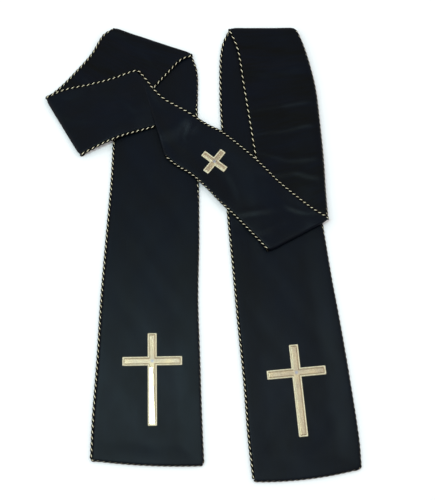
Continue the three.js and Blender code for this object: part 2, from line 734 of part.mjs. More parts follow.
function addPiece(name, geometry, material) {
  const piece = new Mesh(geometry, new MeshStandardMaterial(MATERIALS[material]));
  piece.name = name;
  stole.add(piece);
}

const CLOTHS = [
  { name: 'lining', bottom: BAND_THICKNESS - CLOTH_THICKNESS, top: BAND_THICKNESS },
  { name: 'face', bottom: 0, top: CLOTH_THICKNESS },
];

addPiece('face_left_end', endPanel('leftEnd', FOLD.topLeft, HEM_SAG.left, -1), 'face');
addPiece('face_right_end', endPanel('rightEnd', FOLD.topRight, HEM_SAG.right, 1), 'face');
CLOTHS.forEach(({ name, bottom, top }) => {
  const left = returnCloth('leftReturn', FOLD.topLeft, FOLD.neckLeft, 1, bottom, top);
  const right = returnCloth('rightReturn', FOLD.topRight, FOLD.neckRight, -1, bottom, top);
  addPiece(`${name}_left_return`, left, name);
  addPiece(`${name}_right_return`, right, name);
});
addPiece('face_neck_left', neckLeft(), 'face');
addPiece('face_neck_right', neckRight(), 'face');
addPiece('piping_outer', pipingGeometry(outerPiping()), 'piping');
addPiece('piping_inner_left', pipingGeometry(innerPipingLeft()), 'piping');
addPiece('piping_inner_right', pipingGeometry(innerPipingRight()), 'piping');
CROSSES.forEach((cross) => addPiece(cross.name, crossGeometry(cross), 'cross'));

export default stole;
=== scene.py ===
"""A clergy stole, folded over itself and laid flat: satin, lining, twisted piping and crosses.

The tables are millimetres in the part's frame, and meshes are made in metres.
"""

import math
from itertools import chain

import bpy
import mathutils
import numpy as np
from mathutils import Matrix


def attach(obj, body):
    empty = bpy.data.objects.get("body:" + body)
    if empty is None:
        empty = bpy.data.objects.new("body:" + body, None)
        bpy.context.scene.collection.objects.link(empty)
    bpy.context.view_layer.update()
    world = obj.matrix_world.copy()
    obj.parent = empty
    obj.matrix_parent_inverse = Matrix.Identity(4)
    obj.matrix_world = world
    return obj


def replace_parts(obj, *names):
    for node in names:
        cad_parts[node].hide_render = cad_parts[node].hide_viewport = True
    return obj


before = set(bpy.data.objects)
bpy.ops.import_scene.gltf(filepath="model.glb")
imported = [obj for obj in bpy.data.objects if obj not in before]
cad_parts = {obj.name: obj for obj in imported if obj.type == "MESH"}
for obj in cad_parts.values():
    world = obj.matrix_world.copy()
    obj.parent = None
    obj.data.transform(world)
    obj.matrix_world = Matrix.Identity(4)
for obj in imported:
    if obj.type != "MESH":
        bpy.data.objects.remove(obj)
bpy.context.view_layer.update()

MM = 0.001

# Band and piping, as in the part. The outer edge is the one that turns to the outside of the neck.
BOTH_EDGES = ("outer", "inner")
BAND_THICKNESS = 2.3
CORD_RADIUS = 2.05
SEAM_GAP = 0.3
CORD_GAP = 0.5
LAYER_PITCH = 2 * CORD_RADIUS + CORD_GAP
# How far past the piping a layer starts to drop, and over what reach it comes to rest
DROP_MARGIN = 3
LEVEL_MARGIN = CORD_RADIUS + DROP_MARGIN
DRAPE_REACH = 44
# How far a layer sinks between the pipings of the one below, and what room it leaves there
SAG_ROOM = 0.6
SAG = LAYER_PITCH - BAND_THICKNESS - SAG_ROOM
SAG_REACH = 30
PLEAT_LAYER = BAND_THICKNESS + 2 * SEAM_GAP
PLEAT_FLAP_EXTRA = BAND_THICKNESS + SEAM_GAP
PLEAT_START = 45
PLEAT_RISE = 60
PLEAT_LEAST = 0.1
PLEAT_MARGIN = 9
PLEAT_FADE = 28
CREST_REACH = LAYER_PITCH / 2 + BAND_THICKNESS / 2

# Cloth shells
CLOTH = 0.4
HALF_BAND = BAND_THICKNESS / 2
SEAM_HALF = 0.45
SEAM_ROUND = 2.2
SEAM_INSET = 1.55
SEAM_SAMPLES = 60
SEAM_END_EASE = 0.06
EDGE_LIFT = CORD_RADIUS - HALF_BAND
EDGE_LIFT_REACH = 30
EDGE_STEPS = [0, 0.4, 0.9, 1.6, 2.6, 4.2, 6.8, 10]
MIDDLE_COLUMNS = 30
ROW_STEP = 3.2
FOLD_STEPS = 12
OUTLINE_FINE = 4

# The pleat: where the cloth to its left ends, tucked under it, and the rounded edge of the cloth to
# its right, with the start of the flap beneath
TUCK_START = 4.2
TUCK_UNDER = 2.0
TUCK_TURN = {"from": 46, "over": 24}
NOSE_START = 4.0
NOSE_END = 1.0
NOSE_STEPS = 8
NOSE_TAIL = 14
NOSE_TAIL_STEPS = 4

# Places along the piping's path, and how far above its hem an inner cord begins
CORD_STEP = 6.0
APEX_CORD_STEP = 4.0
CORD_TURN_PLACES = 7
HEM_CORD_PLACES = 14
HEM_CORD_GAP = 1.2 * CORD_RADIUS

# Twisted cord. Of each ply: its yarn (0 gold, 1 black), half its height and width, and how far its
# middle lies from the cord's.
GOLD_PLY = {"yarn": 0, "high": 0.48, "wide": 0.92, "centre": 0.77}
BLACK_PLY = {"yarn": 1, "high": 1.17, "wide": 1.17, "centre": 0.9}
PLIES = [GOLD_PLY, BLACK_PLY, GOLD_PLY, BLACK_PLY]
PLY_SIDES = 7
# Painted shade: how dark the yarns are painted down the cord's flanks, which face sideways, and the
# rises over which it gives way to a top left bright as if lit from above
FLANK_SHADE = 0.08
PAINTED_SHADE_FROM = 0.42
PAINTED_SHADE_TO = 0.92
STEPS_PER_TURN = 11
# The length of one turn of the twist, at shares of each cord's length
TWIST = {
    "piping_outer": [
        (0, 16.2), (0.2, 15.6), (0.3, 14.5), (0.4, 15.6), (0.435, 15.8), (0.465, 15.4),
        (0.475, 12.6), (0.56, 13.2), (0.6, 15.2), (1, 15.6),
    ],
    "piping_inner_left": [(0, 15.6), (0.7, 15.6), (0.8, 18.2), (0.88, 16.8), (0.93, 15.2), (1, 15)],
    "piping_inner_right": [
        (0, 15.6), (0.15, 15.7), (0.25, 16.2), (0.35, 16.2), (0.5, 17.6), (0.6, 18.2), (0.8, 18),
        (0.85, 13), (1, 12.7),
    ],
}

# Where the seam rolls over the piping, at shares of an edge's length from its start: 0 is not at
# all, and 1 covers the cord to just past its middle.
ROLL_INSET = 2.2
ROLL_LIFT = 1.6
ROLL_REACH = 36.0
ROLLED = {
    ("left_end", "inner"): [
        (0, 1), (0.62, 1), (0.68, 0.1), (0.85, 0.1), (0.88, 0.9), (0.93, 0.9), (1, 0.3),
    ],
    ("right_end", "outer"): [(0, 1), (0.5, 1), (0.57, 0.1), (1, 0.1)],
    ("right_return", "outer"): [(0, 0.85), (0.5, 0.95), (0.94, 0.9), (1, 0.3)],
    ("left_return", "outer"): [(0, 0.7), (0.12, 0)],
    ("left_end", "outer"): [(0, 0), (0.95, 0), (1, 0.7)],
    ("neck_right", "inner"): [(0.4, 0), (0.48, 0.8), (0.64, 0.8), (0.74, 0)],
}
FOLD_ROLL = {
    "top_left": (0.7, 0.3), "top_right": (0.6, 0), "neck_left": (0, 0), "neck_right": (0.3, 0),
}
HEM_ROLL = 1.0
# How far the band stands out past its fold lines, and draws back at the ends of its folds
FOLD_BULGE = {"top_left": 1.3, "top_right": 0.9, "neck_left": 2.7, "neck_right": 0.6}
CORNER_SETBACK = 1.2
CORNER_REACH = 9.0

# Folds, each from its outer end to its inner end, with a point on the band's side of it
FOLDS = {
    "top_left": {"outer": (-125, 331), "inner": (-9, 289.5), "inside": (-60, 0)},
    "top_right": {"outer": (144, 331), "inner": (46, 331), "inside": (100, 0)},
    "neck_left": {"outer": (-220, 220), "inner": (-167, 132), "inside": (0, 220)},
    "neck_right": {"outer": (185, 33), "inner": (100, -13), "inside": (60, 200)},
}
PLEAT_APEX = np.array([-84.0, 258.0])
PLEAT_EDGE_INNER = np.array([-46.0, 129.0])
PLEAT_HIDDEN_INNER = np.array([-20.0, 196.0])
PLEAT_TUCKED_INNER = np.array([-61.0, 176.0])

# Middle lines of the piping: outer x, outer y, inner x, inner y at each place along a stretch
PIPED = {
    "left_end": [
        (-141, -302, 9, -309), (-140, -249, 6, -249), (-136, -166, 3, -166), (-133, -82, 0, -82),
        (-128, 5, 1, 5), (-122, 110, 0, 110), (-121, 215, -2, 200), (-124, 300, -3, 264),
    ],
    "right_end": [
        (220, -313, 77, -330), (218, -276, 71, -276), (208, -194, 65, -194), (196, -110, 57, -110),
        (187, -53, 51, -40), (179, 5, 43, 50), (166, 110, 38, 130), (153, 230, 33, 230),
        (147, 295, 36, 302),
    ],
    "left_return": [
        (-139, 319, -25, 280), (-156, 290, -47, 257), (-177, 264, -72, 228), (-197, 241, -115, 186),
    ],
    "right_return": [
        (155, 298, 58, 298), (169, 240, 67, 240), (175, 180, 76, 180), (179, 125, 84, 125),
        (181, 75, 93, 60),
    ],
}
# The neck's edges, from its fold to the pleat
NECK_PIPED = {
    ("left", "outer"): [
        (-197, 231), (-175, 237), (-129, 247), (-106, 256), (-94, 261), (-87, 261), PLEAT_APEX,
    ],
    ("left", "inner"): [
        (-148, 142), (-104, 162), (-80, 170), PLEAT_TUCKED_INNER, PLEAT_HIDDEN_INNER,
    ],
    ("right", "outer"): [
        (165, 48), (148, 62), (114, 92), (85, 122), (51, 153), (32, 168), (18, 175), (-11, 193),
        (-34, 208), (-48, 216), (-64, 231), (-75, 246), PLEAT_APEX,
    ],
    ("right", "inner"): [
        (87, 3), (60, 33), (35, 59), (12, 84), (-10, 103), (-33, 118), PLEAT_EDGE_INNER,
    ],
}
HEM_SAG = {"left": 3, "right": 5}

# Creases from storage, by layer: the height and width of each, and places along it
CREASES = {
    "right_return": [
        (0.65, 7, [(70, 201), (96, 206), (122, 210), (148, 214), (176, 218)]),
        (0.65, 7, [(74, 164), (101, 169), (129, 172), (153, 178), (179, 179)]),
        (0.5, 8, [(79, 141), (107, 133), (132, 126), (158, 127), (182, 130)]),
        (0.55, 8, [(88, 107), (115, 103), (139, 107), (160, 101), (183, 97)]),
        (0.45, 7, [(123, 56), (142, 48), (161, 45), (185, 49)]),
        (0.7, 16, [(61, 272), (94, 262), (127, 266), (167, 275)]),
    ],
    "left_return": [
        (0.8, 8, [(-167, 259), (-157, 247), (-147, 231)]),
        (0.8, 9, [(-72, 285), (-62, 270), (-51, 253)]),
        (0.5, 12, [(-133, 310), (-112, 291), (-95, 269)]),
    ],
    "neck_right": [
        (0.6, 8, [(55, 42), (74, 45), (97, 48), (122, 54)]),
        (0.3, 10, [(41, 112), (51, 91), (58, 73), (63, 55)]),
        (0.7, 5, [(-8, 183), (-14, 167), (-18, 148)]),
        (0.4, 9, [(83, 14), (105, 23), (134, 40)]),
    ],
    "neck_left": [
        (0.4, 12, [(-199, 196), (-170, 187), (-135, 184)]),
        (0.5, 12, [(-125, 227), (-104, 215), (-86, 196)]),
    ],
    "left_end": [
        (0.4, 11, [(-18, 271), (-26, 243), (-20, 221)]),
    ],
    "right_end": [
        (0.4, 14, [(49, 42), (82, 26), (91, -10)]),
    ],
}
TROUGH_SHARE = 0.6
TROUGH_NARROW = 1.6
# How much of a crease is left at its ends, and over what share of its length it fades
CREASE_END = 0.25
CREASE_TAPER = 0.22
CREASE_FINE = 5
# Soft unevenness of the lay: height, and the length of one wave across and along, with its phase
RIPPLES = [(0.16, 83, 131, 0.7), (0.12, 57, 74, 2.1), (0.07, 34, 46, 4.0)]
RIPPLE_EASE = 26
# Corners rounded in plan: the corner, a point along each side of it, and the radius
ROUNDED = {
    "left": [
        ((-143, -304), (7, -311), (-142, -251), 4.5),
        ((11, -311), (-139, -304), (8, -251), 6),
        ((-127, 331.7), (-11, 290.2), (-141, 319.7), 4),
        ((-7, 288.8), (-123, 330.3), (-1, 263.3), 5),
    ],
    "right": [
        ((222, -315), (79, -332), (220, -278), 6),
        ((75, -332.3), (218, -315.3), (69, -278.3), 4.5),
        ((146.1, 331), (48, 331), (157.1, 298), 8),
        ((43.9, 331), (142, 331), (34, 302), 6),
    ],
}
CORNER_SLACK = 3.0


def smooth(t):
    t = np.clip(t, 0.0, 1.0)
    return t * t * (3.0 - 2.0 * t)


def fade(distance, reach):
    return 1.0 - smooth(distance / reach)


def unit(vectors):
    return vectors / np.linalg.norm(vectors, axis=-1, keepdims=True)


def mix(a, b, t):
    t = np.asarray(t, float)[..., None]
    return a + (b - a) * t


def segment_distance(points, a, b):
    along = b - a
    share = np.clip(((points - a) @ along) / (along @ along), 0.0, 1.0)
    return np.linalg.norm(points - a - share[..., None] * along, axis=-1)


def signed_distance(points, outline):
    """The distance from plan points to a closed outline, less than zero inside it."""
    inside = np.zeros(points.shape[:-1], bool)
    nearest = np.full(points.shape[:-1], np.inf)
    for a, b in zip(outline, np.roll(outline, -1, axis=0)):
        if np.allclose(a, b):
            continue
        nearest = np.minimum(nearest, segment_distance(points, a, b))
        if a[1] != b[1]:
            straddles = (a[1] > points[..., 1]) != (b[1] > points[..., 1])
            x = a[0] + (b[0] - a[0]) * (points[..., 1] - a[1]) / (b[1] - a[1])
            inside ^= straddles & (points[..., 0] < x)
    return np.where(inside, -nearest, nearest)


def soft_line(points, fine=16):
    """A smooth curve through points, as many short steps. Its bends are eased by spacing."""
    points = np.asarray(points, float)
    first = 2 * points[0] - points[1]
    last = 2 * points[-1] - points[-2]
    held = np.vstack([first, points, last])
    share = np.linspace(0.0, 1.0, fine, endpoint=False)[:, None]
    pieces = []
    for p0, p1, p2, p3 in zip(held, held[1:], held[2:], held[3:]):
        d0, d1, d2 = (math.sqrt(np.linalg.norm(b - a)) for a, b in ((p0, p1), (p1, p2), (p2, p3)))
        leave = ((p1 - p0) / d0 - (p2 - p0) / (d0 + d1) + (p2 - p1) / d1) * d1
        arrive = ((p2 - p1) / d1 - (p3 - p1) / (d1 + d2) + (p3 - p2) / d2) * d1
        bend = -3 * p1 + 3 * p2 - 2 * leave - arrive
        turn = 2 * p1 - 2 * p2 + leave + arrive
        pieces.append(p1 + leave * share + bend * share**2 + turn * share**3)
    return np.vstack([*pieces, points[-1:]])


class Line:
    """A smooth curve that is read by its share of length."""

    def __init__(self, points):
        self.places = soft_line(points)
        steps = np.linalg.norm(np.diff(self.places, axis=0), axis=1)
        self.reach = np.concatenate([[0.0], np.cumsum(steps)])
        self.length = self.reach[-1]

    def at(self, share):
        reach = np.asarray(share) * self.length
        return np.stack([np.interp(reach, self.reach, values) for values in self.places.T], -1)


class Fold:
    """A fold's line in plan, with its own directions: along it, and outward from the band."""

    def __init__(self, outer, inner, inside):
        self.outer = np.array(outer, float)
        self.inner = np.array(inner, float)
        self.along = unit(self.inner - self.outer)
        self.out = np.array([-self.along[1], self.along[0]])
        if self.out @ (np.array(inside) - self.outer) > 0:
            self.out = -self.out

    def at(self, across, setback=CREST_REACH, insets=(0.0, 0.0)):
        ends = self.outer + self.along * insets[0], self.inner - self.along * insets[1]
        return mix(*ends, across) - self.out * setback


def seam_inset(roll):
    """How far the seam lies in from the cord's middle, which it passes where it rolls over."""
    return SEAM_INSET - ROLL_INSET * roll


fold_lines = {name: Fold(**ends) for name, ends in FOLDS.items()}
fold_insets = {name: [seam_inset(roll) for roll in rolls] for name, rolls in FOLD_ROLL.items()}
pleat_along = unit(PLEAT_EDGE_INNER - PLEAT_APEX)
pleat_out = np.array([pleat_along[1], -pleat_along[0]])


def edge_roll(stretch, edge, shares):
    rolls = ROLLED.get((stretch, edge), [(0, 0), (1, 0)])
    return np.interp(shares, *zip(*rolls))


def fold_end(name, edge, setback=CREST_REACH):
    return fold_lines[name].at(float(edge == "inner"), setback)


def edge_lines(stretch, start, end):
    """Both edges of a stretch in plan, from fold to fold. An end panel starts at its hem."""
    rows = np.array(PIPED[stretch], float)
    lines = {}
    for edge, points in zip(BOTH_EDGES, (rows[:, :2], rows[:, 2:])):
        before = [fold_end(start, edge)] if start else []
        lines[edge] = np.vstack([*before, points, fold_end(end, edge)])
    return lines


def footprint(stretch, start, end):
    """The plan outline of a stretch, out to the crests of its folds."""
    outer, inner = (soft_line(EDGES[stretch][edge], OUTLINE_FINE) for edge in BOTH_EDGES)
    crests = [[fold_end(name, edge, 0.0) for edge in BOTH_EDGES] for name in (end, start) if name]
    return np.vstack([outer, crests[0], inner[::-1], *(crest[::-1] for crest in crests[1:])])


EDGES, FOOTPRINTS = {}, {}
for side in ("left", "right"):
    top, neck = f"top_{side}", f"neck_{side}"
    for stretch, *folds in ((f"{side}_end", None, top), (f"{side}_return", top, neck)):
        EDGES[stretch] = edge_lines(stretch, *folds)
        FOOTPRINTS[stretch] = footprint(stretch, *folds)
    EDGES[neck] = {
        edge: np.vstack([fold_end(neck, edge), *NECK_PIPED[side, edge]]) for edge in BOTH_EDGES
    }
PLEAT_TUCKED = np.array([PLEAT_APEX, PLEAT_TUCKED_INNER, PLEAT_HIDDEN_INNER])
PLEAT_FLAP = np.array([PLEAT_APEX, PLEAT_EDGE_INNER, PLEAT_HIDDEN_INNER])
ENDS = ("left_end", "right_end")
RETURNS = ("left_return", "right_return")
# What lies under each layer, level by level, and the layers whose creases show in its height
BENEATH = {}
for side in ("left", "right"):
    BENEATH[f"{side}_end"] = (), (f"{side}_end",)
    BENEATH[f"{side}_return"] = (ENDS,), (f"{side}_return",)
    BENEATH[f"neck_{side}"] = (ENDS, RETURNS), (*RETURNS, f"neck_{side}")


def crease_height(points, layers):
    """Soft ridges, each with a shallower trough along one side, that die away at their ends."""
    height = np.zeros(points.shape[:-1])
    for rise, width, places in chain(*(CREASES[layer] for layer in CREASES if layer in layers)):
        line = soft_line(places, CREASE_FINE)
        tangents = np.gradient(line, axis=0)
        shares = np.linspace(0, 1, len(line))
        gaps = np.linalg.norm(points[..., None, :] - line, axis=-1)
        nearest = np.argmin(gaps, axis=-1)
        offset = points - line[nearest]
        along = unit(tangents)[nearest]
        side = along[..., 0] * offset[..., 1] - along[..., 1] * offset[..., 0]
        beyond = np.sum(along * offset, axis=-1)
        inner = (nearest > 0) & (nearest < len(line) - 1)
        beyond = np.where(inner, 0.0, beyond)
        taper = smooth(shares / CREASE_TAPER) * smooth((1 - shares) / CREASE_TAPER)
        strength = CREASE_END + (1 - CREASE_END) * taper[nearest]
        strength *= np.exp(-(beyond / width) ** 2)
        ridge = np.exp(-(2 * side / width) ** 2)
        trough = np.exp(-((side / width + 1.0) * TROUGH_NARROW) ** 2)
        height += rise * strength * (ridge - TROUGH_SHARE * trough)
    return height


def ripple_height(points, edge):
    """The slight unevenness of cloth that lies loose, none of it at the seams."""
    height = np.zeros(points.shape[:-1])
    for rise, across, along, phase in RIPPLES:
        wave = np.sin(2 * math.pi * points[..., 0] / across + phase)
        height += rise * (1 + wave * np.sin(2 * math.pi * points[..., 1] / along - phase))
    return height * smooth(edge / RIPPLE_EASE)


def round_corners(points, side):
    """Rounds the corners in plan, by drawing each corner's square in to a quarter disc."""
    points = points.copy()
    for corner, first, second, radius in ROUNDED[side]:
        corner = np.array(corner, float)
        sides = np.stack([unit(first - corner), unit(second - corner)], -1)
        reach = (points[..., :2] - corner) @ np.linalg.inv(sides).T
        pull = radius - reach
        near = np.all((pull > 0) & (reach > -CORNER_SLACK), axis=-1)
        pull = pull[near]
        pull *= (pull.max(axis=-1) / np.linalg.norm(pull, axis=-1))[:, None]
        points[near, :2] = corner + (radius - pull) @ sides.T
    return points


def pleat_growth(points):
    """How full the pleat is: pressed almost flat at its apex, and full at its open end."""
    reach = np.linalg.norm(points - PLEAT_APEX, axis=-1)
    return PLEAT_LEAST + (1 - PLEAT_LEAST) * smooth((reach - PLEAT_START) / PLEAT_RISE)


def pleat_lift(points):
    distance = signed_distance(points, PLEAT_TUCKED) - PLEAT_MARGIN
    return pleat_growth(points) * PLEAT_LAYER * fade(distance, PLEAT_FADE)


def flap_height(points):
    distance = signed_distance(points, PLEAT_FLAP)
    return pleat_growth(points) * PLEAT_FLAP_EXTRA * fade(distance, PLEAT_FADE)


def bed_height(points, layer):
    """The height at which a layer's underside lies over points of the plan."""
    levels, creased = BENEATH[layer]
    lift = crease_height(points, creased)
    for names in levels:
        distances = [signed_distance(points, FOOTPRINTS[name]) for name in names]
        free = np.prod([smooth((d - LEVEL_MARGIN) / DRAPE_REACH) for d in distances], axis=0)
        sags = np.max([smooth((-d - LEVEL_MARGIN) / SAG_REACH) for d in distances], axis=0)
        lift += LAYER_PITCH * (1 - free) - SAG * sags
    if layer == "neck_right":
        lift += pleat_lift(points)
    return lift


def middle_height(points, layer, edge, roll=0.0):
    """The height of the middle of the band, which rises to the cord's middle at its seams."""
    height = bed_height(points, layer) + HALF_BAND + EDGE_LIFT * fade(edge, EDGE_LIFT_REACH)
    height += ripple_height(points, edge)
    if layer == "neck_right":
        height += flap_height(points)
    return height + ROLL_LIFT * roll


# The band's middle surface, in rows from the hem to the pleat
def seam_line(stretch, edge, other, first, last):
    """An edge line moved in from the piping's middle to the seam."""
    line = Line(EDGES[stretch][edge])
    shares = np.linspace(0, 1, SEAM_SAMPLES)
    places = line.at(shares)
    tangents = unit(np.gradient(places, axis=0))
    sides = np.stack([-tangents[:, 1], tangents[:, 0]], -1)
    across = Line(EDGES[stretch][other]).at(shares) - places
    facing = np.sign(np.sum(sides * across, axis=1, keepdims=True))
    inset = seam_inset(edge_roll(stretch, edge, shares))
    moved = places + sides * facing * inset[:, None]
    at_start, at_end = (fade(share, SEAM_END_EASE)[:, None] for share in (shares, 1 - shares))
    moved += (first - moved[0]) * at_start + (last - moved[-1]) * at_end
    return Line(moved)


def column_shares(widths):
    """Where the columns lie across each row: close together at the seams, even between."""
    edge = np.array(EDGE_STEPS)
    columns = []
    for width in widths:
        middle = np.linspace(edge[-1], width - edge[-1], MIDDLE_COLUMNS + 1)[1:-1]
        columns.append(np.concatenate([edge, middle, width - edge[::-1]]) / width)
    return np.array(columns)


def coons(outer, inner, start, end, shares, across):
    """Plan points between two edges and the rows at their ends."""
    along = shares[:, None] + np.zeros_like(across)
    rails = mix(outer.at(shares)[:, None], inner.at(shares)[:, None], across)
    ends = mix(start(across), end(across), along)
    corners = [mix(row(0 * across), row(0 * across + 1), across) for row in (start, end)]
    return rails + ends - mix(*corners, along)


def from_seams(across, width, outer_roll, inner_roll):
    """How far points lie from the nearer seam and the outer one, and how far they are rolled."""
    from_outer, from_inner = across * width, (1 - across) * width
    roll = np.maximum(
        outer_roll * fade(from_outer, ROLL_REACH), inner_roll * fade(from_inner, ROLL_REACH),
    )
    return np.minimum(from_outer, from_inner), from_outer, roll


def lay_stretch(stretch, start, end, from_hem=False):
    """The middle surface of one stretch, between its two end rows."""
    outer = seam_line(stretch, "outer", "inner", start(np.float64(0)), end(np.float64(0)))
    inner = seam_line(stretch, "inner", "outer", start(np.float64(1)), end(np.float64(1)))
    length = (outer.length + inner.length) / 2
    first = EDGE_STEPS if from_hem else [0.0]
    rows = round((length - first[-1]) / ROW_STEP)
    reach = np.concatenate([first[:-1], np.linspace(first[-1], length, rows + 1)])
    shares = reach / length
    widths = np.linalg.norm(outer.at(shares) - inner.at(shares), axis=1)
    across = column_shares(widths)
    points = coons(outer, inner, start, end, shares, across)
    rolls = [edge_roll(stretch, edge, shares)[:, None] for edge in BOTH_EDGES]
    edge, from_outer, roll = from_seams(across, widths[:, None], *rolls)
    if from_hem:
        edge = np.minimum(edge, reach[:, None])
        roll = np.maximum(roll, HEM_ROLL * fade(reach, ROLL_REACH)[:, None])
    height = middle_height(points, stretch, edge, roll)
    return np.dstack([points, height]), edge, from_outer


def half_turn(name, foot, low, high, corner, angles):
    """Points round a fold, from its lower side to its upper one, in a row for each angle."""
    radius = (high - low) / 2
    reach = (radius - corner + FOLD_BULGE[name]) * np.sin(angles)[:, None]
    plan = foot + fold_lines[name].out * reach[..., None]
    return np.dstack([plan, (low + high) / 2 - radius * np.cos(angles)[:, None]])


def turn_fold(name, lower, upper):
    """The half turn of the band round a fold, from its lower stretch to its upper one."""
    fold, insets = fold_lines[name], fold_insets[name]
    width = np.linalg.norm(fold.inner - fold.outer) - sum(insets)
    across = column_shares([width])[0]
    foot = fold.at(across, insets=insets)
    edge, from_outer, roll = from_seams(across, width, *FOLD_ROLL[name])
    low, high = (middle_height(foot, layer, edge, roll) for layer in (lower, upper))
    corner = CORNER_SETBACK * fade(edge, CORNER_REACH)
    angles = np.linspace(0, math.pi, FOLD_STEPS + 1)[1:-1]
    rows = half_turn(name, foot, low, high, corner, angles)
    return rows, np.tile(edge, (len(rows), 1)), np.tile(from_outer, (len(rows), 1))


def turn_pleat(surface, edge, across):
    """The rounded edge of the pleat, and the start of the flap that lies under it."""
    last = surface[-1]
    plan = last[:, :2]
    drop = pleat_growth(plan) * PLEAT_FLAP_EXTRA
    rows = []
    for angle in np.linspace(0, math.pi, NOSE_STEPS + 1)[1:]:
        place = plan + pleat_out * (drop / 2 * math.sin(angle))[:, None]
        rows.append(np.column_stack([place, last[:, 2] - drop / 2 * (1 - math.cos(angle))]))
    for back in np.linspace(0, NOSE_TAIL, NOSE_TAIL_STEPS + 1)[1:]:
        reach = back * pleat_growth(plan)
        rows.append(np.column_stack([plan - pleat_out * reach[:, None], last[:, 2] - drop]))
    added = np.array(rows), *(np.tile(values[-1], (len(rows), 1)) for values in (edge, across))
    return join([(surface, edge, across), added])


def sagging(side, first, last, across):
    """Points between a hem's two ends. The hem bows down in its middle."""
    sag = 4 * HEM_SAG[side] * across * (1 - across)
    return mix(first, last, across) - np.stack([0 * sag, sag], -1)


def hem_row(side):
    stretch = f"{side}_end"
    outer, inner = (EDGES[stretch][edge][0] for edge in BOTH_EDGES)
    insets = [seam_inset(edge_roll(stretch, edge, 0.0)) for edge in BOTH_EDGES]
    sideways = math.copysign(1, inner[0] - outer[0])
    first = outer + (sideways * insets[0], seam_inset(HEM_ROLL))
    last = inner + (-sideways * insets[1], seam_inset(HEM_ROLL))
    return lambda across: sagging(side, first, last, across)


def foot_row(name):
    return lambda across: fold_lines[name].at(across, insets=fold_insets[name])


def tucked_row(across):
    """Where the cloth left of the pleat ends: along the pleat's edge, then well under it."""
    hidden = PLEAT_HIDDEN_INNER - PLEAT_APEX
    reach = TUCK_START + (np.linalg.norm(hidden) - SEAM_INSET - TUCK_START) * across
    under = smooth((reach - TUCK_TURN["from"]) / TUCK_TURN["over"])
    direction = unit(mix(pleat_along, unit(hidden), under))
    slip = TUCK_UNDER * smooth(reach / PLEAT_RISE)
    return PLEAT_APEX + direction * reach[..., None] - pleat_out * np.asarray(slip)[..., None]


def nose_row(across):
    """Where the cloth right of the pleat turns round the pleat's edge."""
    first = PLEAT_APEX + pleat_along * NOSE_START
    last = PLEAT_EDGE_INNER - pleat_along * NOSE_END
    crest = mix(first, last, across)
    half = pleat_growth(crest) * PLEAT_FLAP_EXTRA / 2
    return crest - pleat_out * np.asarray(half)[..., None]


def join(parts):
    return tuple(np.concatenate(values) for values in zip(*parts))


def half_band(side):
    """The middle surface of half the stole, from its hem to the pleat."""
    end, back, neck = f"{side}_end", f"{side}_return", f"neck_{side}"
    top, turn = f"top_{side}", f"neck_{side}"
    last_row = tucked_row if side == "left" else nose_row
    neck_part = lay_stretch(neck, foot_row(turn), last_row)
    if side == "right":
        neck_part = turn_pleat(*neck_part)
    return join([
        lay_stretch(end, hem_row(side), foot_row(top), from_hem=True),
        turn_fold(top, end, back),
        lay_stretch(back, foot_row(top), foot_row(turn)),
        turn_fold(turn, back, neck),
        neck_part,
    ])


# Meshes
def quads(index):
    """Four-sided faces between the neighbours in a grid of point numbers."""
    return np.stack([index[:-1, :-1], index[:-1, 1:], index[1:, 1:], index[1:, :-1]], -1)


def ring_quads(index):
    """Faces between closed rings of point numbers, with one ring in each row."""
    return quads(np.hstack([index, index[:, :1]])).reshape(-1, 4).tolist()


def new_object(name, data):
    made = bpy.data.objects.new(name, data)
    bpy.context.scene.collection.objects.link(made)
    return made


def new_piece(name, points, faces, materials, lay, face_materials=None, rise=None):
    """A mesh piece that rides on the stole, with the lay of its threads kept on its points."""
    mesh = bpy.data.meshes.new(name)
    mesh.from_pydata((points * MM).tolist(), [], faces)
    for material in materials:
        mesh.materials.append(material)
    if face_materials is not None:
        mesh.polygons.foreach_set("material_index", face_materials)
    mesh.polygons.foreach_set("use_smooth", [True] * len(mesh.polygons))
    lays = mesh.attributes.new("thread_lay", "FLOAT_VECTOR", "POINT").data
    lays.foreach_set("vector", np.asarray(lay, np.float32).ravel())
    if rise is not None:
        rises = mesh.attributes.new("thread_rise", "FLOAT", "POINT").data
        rises.foreach_set("value", np.asarray(rise, np.float32).ravel())
    mesh.validate()
    piece = new_object(name, mesh)
    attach(piece, "root")
    return piece


def band_normals(surface, towards_face):
    across = np.gradient(surface, axis=1)
    along = np.gradient(surface, axis=0)
    return unit(np.cross(across, along)) * towards_face


def cloth_skin(name, side, skin, material):
    """One cloth of the band: the face or the lining, as a thin shell."""
    surface, edge, across = bands[side]
    towards_face = 1.0 if side == "left" else -1.0
    outward = 1.0 if skin == "face" else -1.0
    rounding = np.clip(edge / SEAM_ROUND, 0.0, 1.0)
    half = SEAM_HALF + (HALF_BAND - SEAM_HALF) * np.sqrt(1 - (1 - rounding) ** 2)
    points = surface + band_normals(surface, towards_face) * (outward * half)[..., None]
    middle = surface[:, surface.shape[1] // 2]
    steps = np.linalg.norm(np.diff(middle, axis=0), axis=1)
    reach = np.concatenate([[0.0], np.cumsum(steps)])
    lay = np.dstack([across, reach[:, None] + 0 * across, 0 * across])
    faces = quads(np.arange(edge.size).reshape(edge.shape))
    if towards_face * outward < 0:
        faces = faces[..., ::-1]
    piece = new_piece(
        name, points.reshape(-1, 3), faces.reshape(-1, 4).tolist(), [material],
        lay.reshape(-1, 3),
    )
    shell = piece.modifiers.new("cloth_thickness", "SOLIDIFY")
    shell.thickness = CLOTH * MM
    shell.offset = -1.0
    return piece


# Piping
def cord_at(points, layer):
    height = bed_height(points, layer) + CORD_RADIUS
    if layer == "neck_right":
        height = height + flap_height(points)
    return np.column_stack([points, height])


def cord_along(points, layer, step=CORD_STEP):
    line = Line(points)
    count = round(line.length / step)
    return cord_at(line.at(np.arange(1, count) / count), layer)


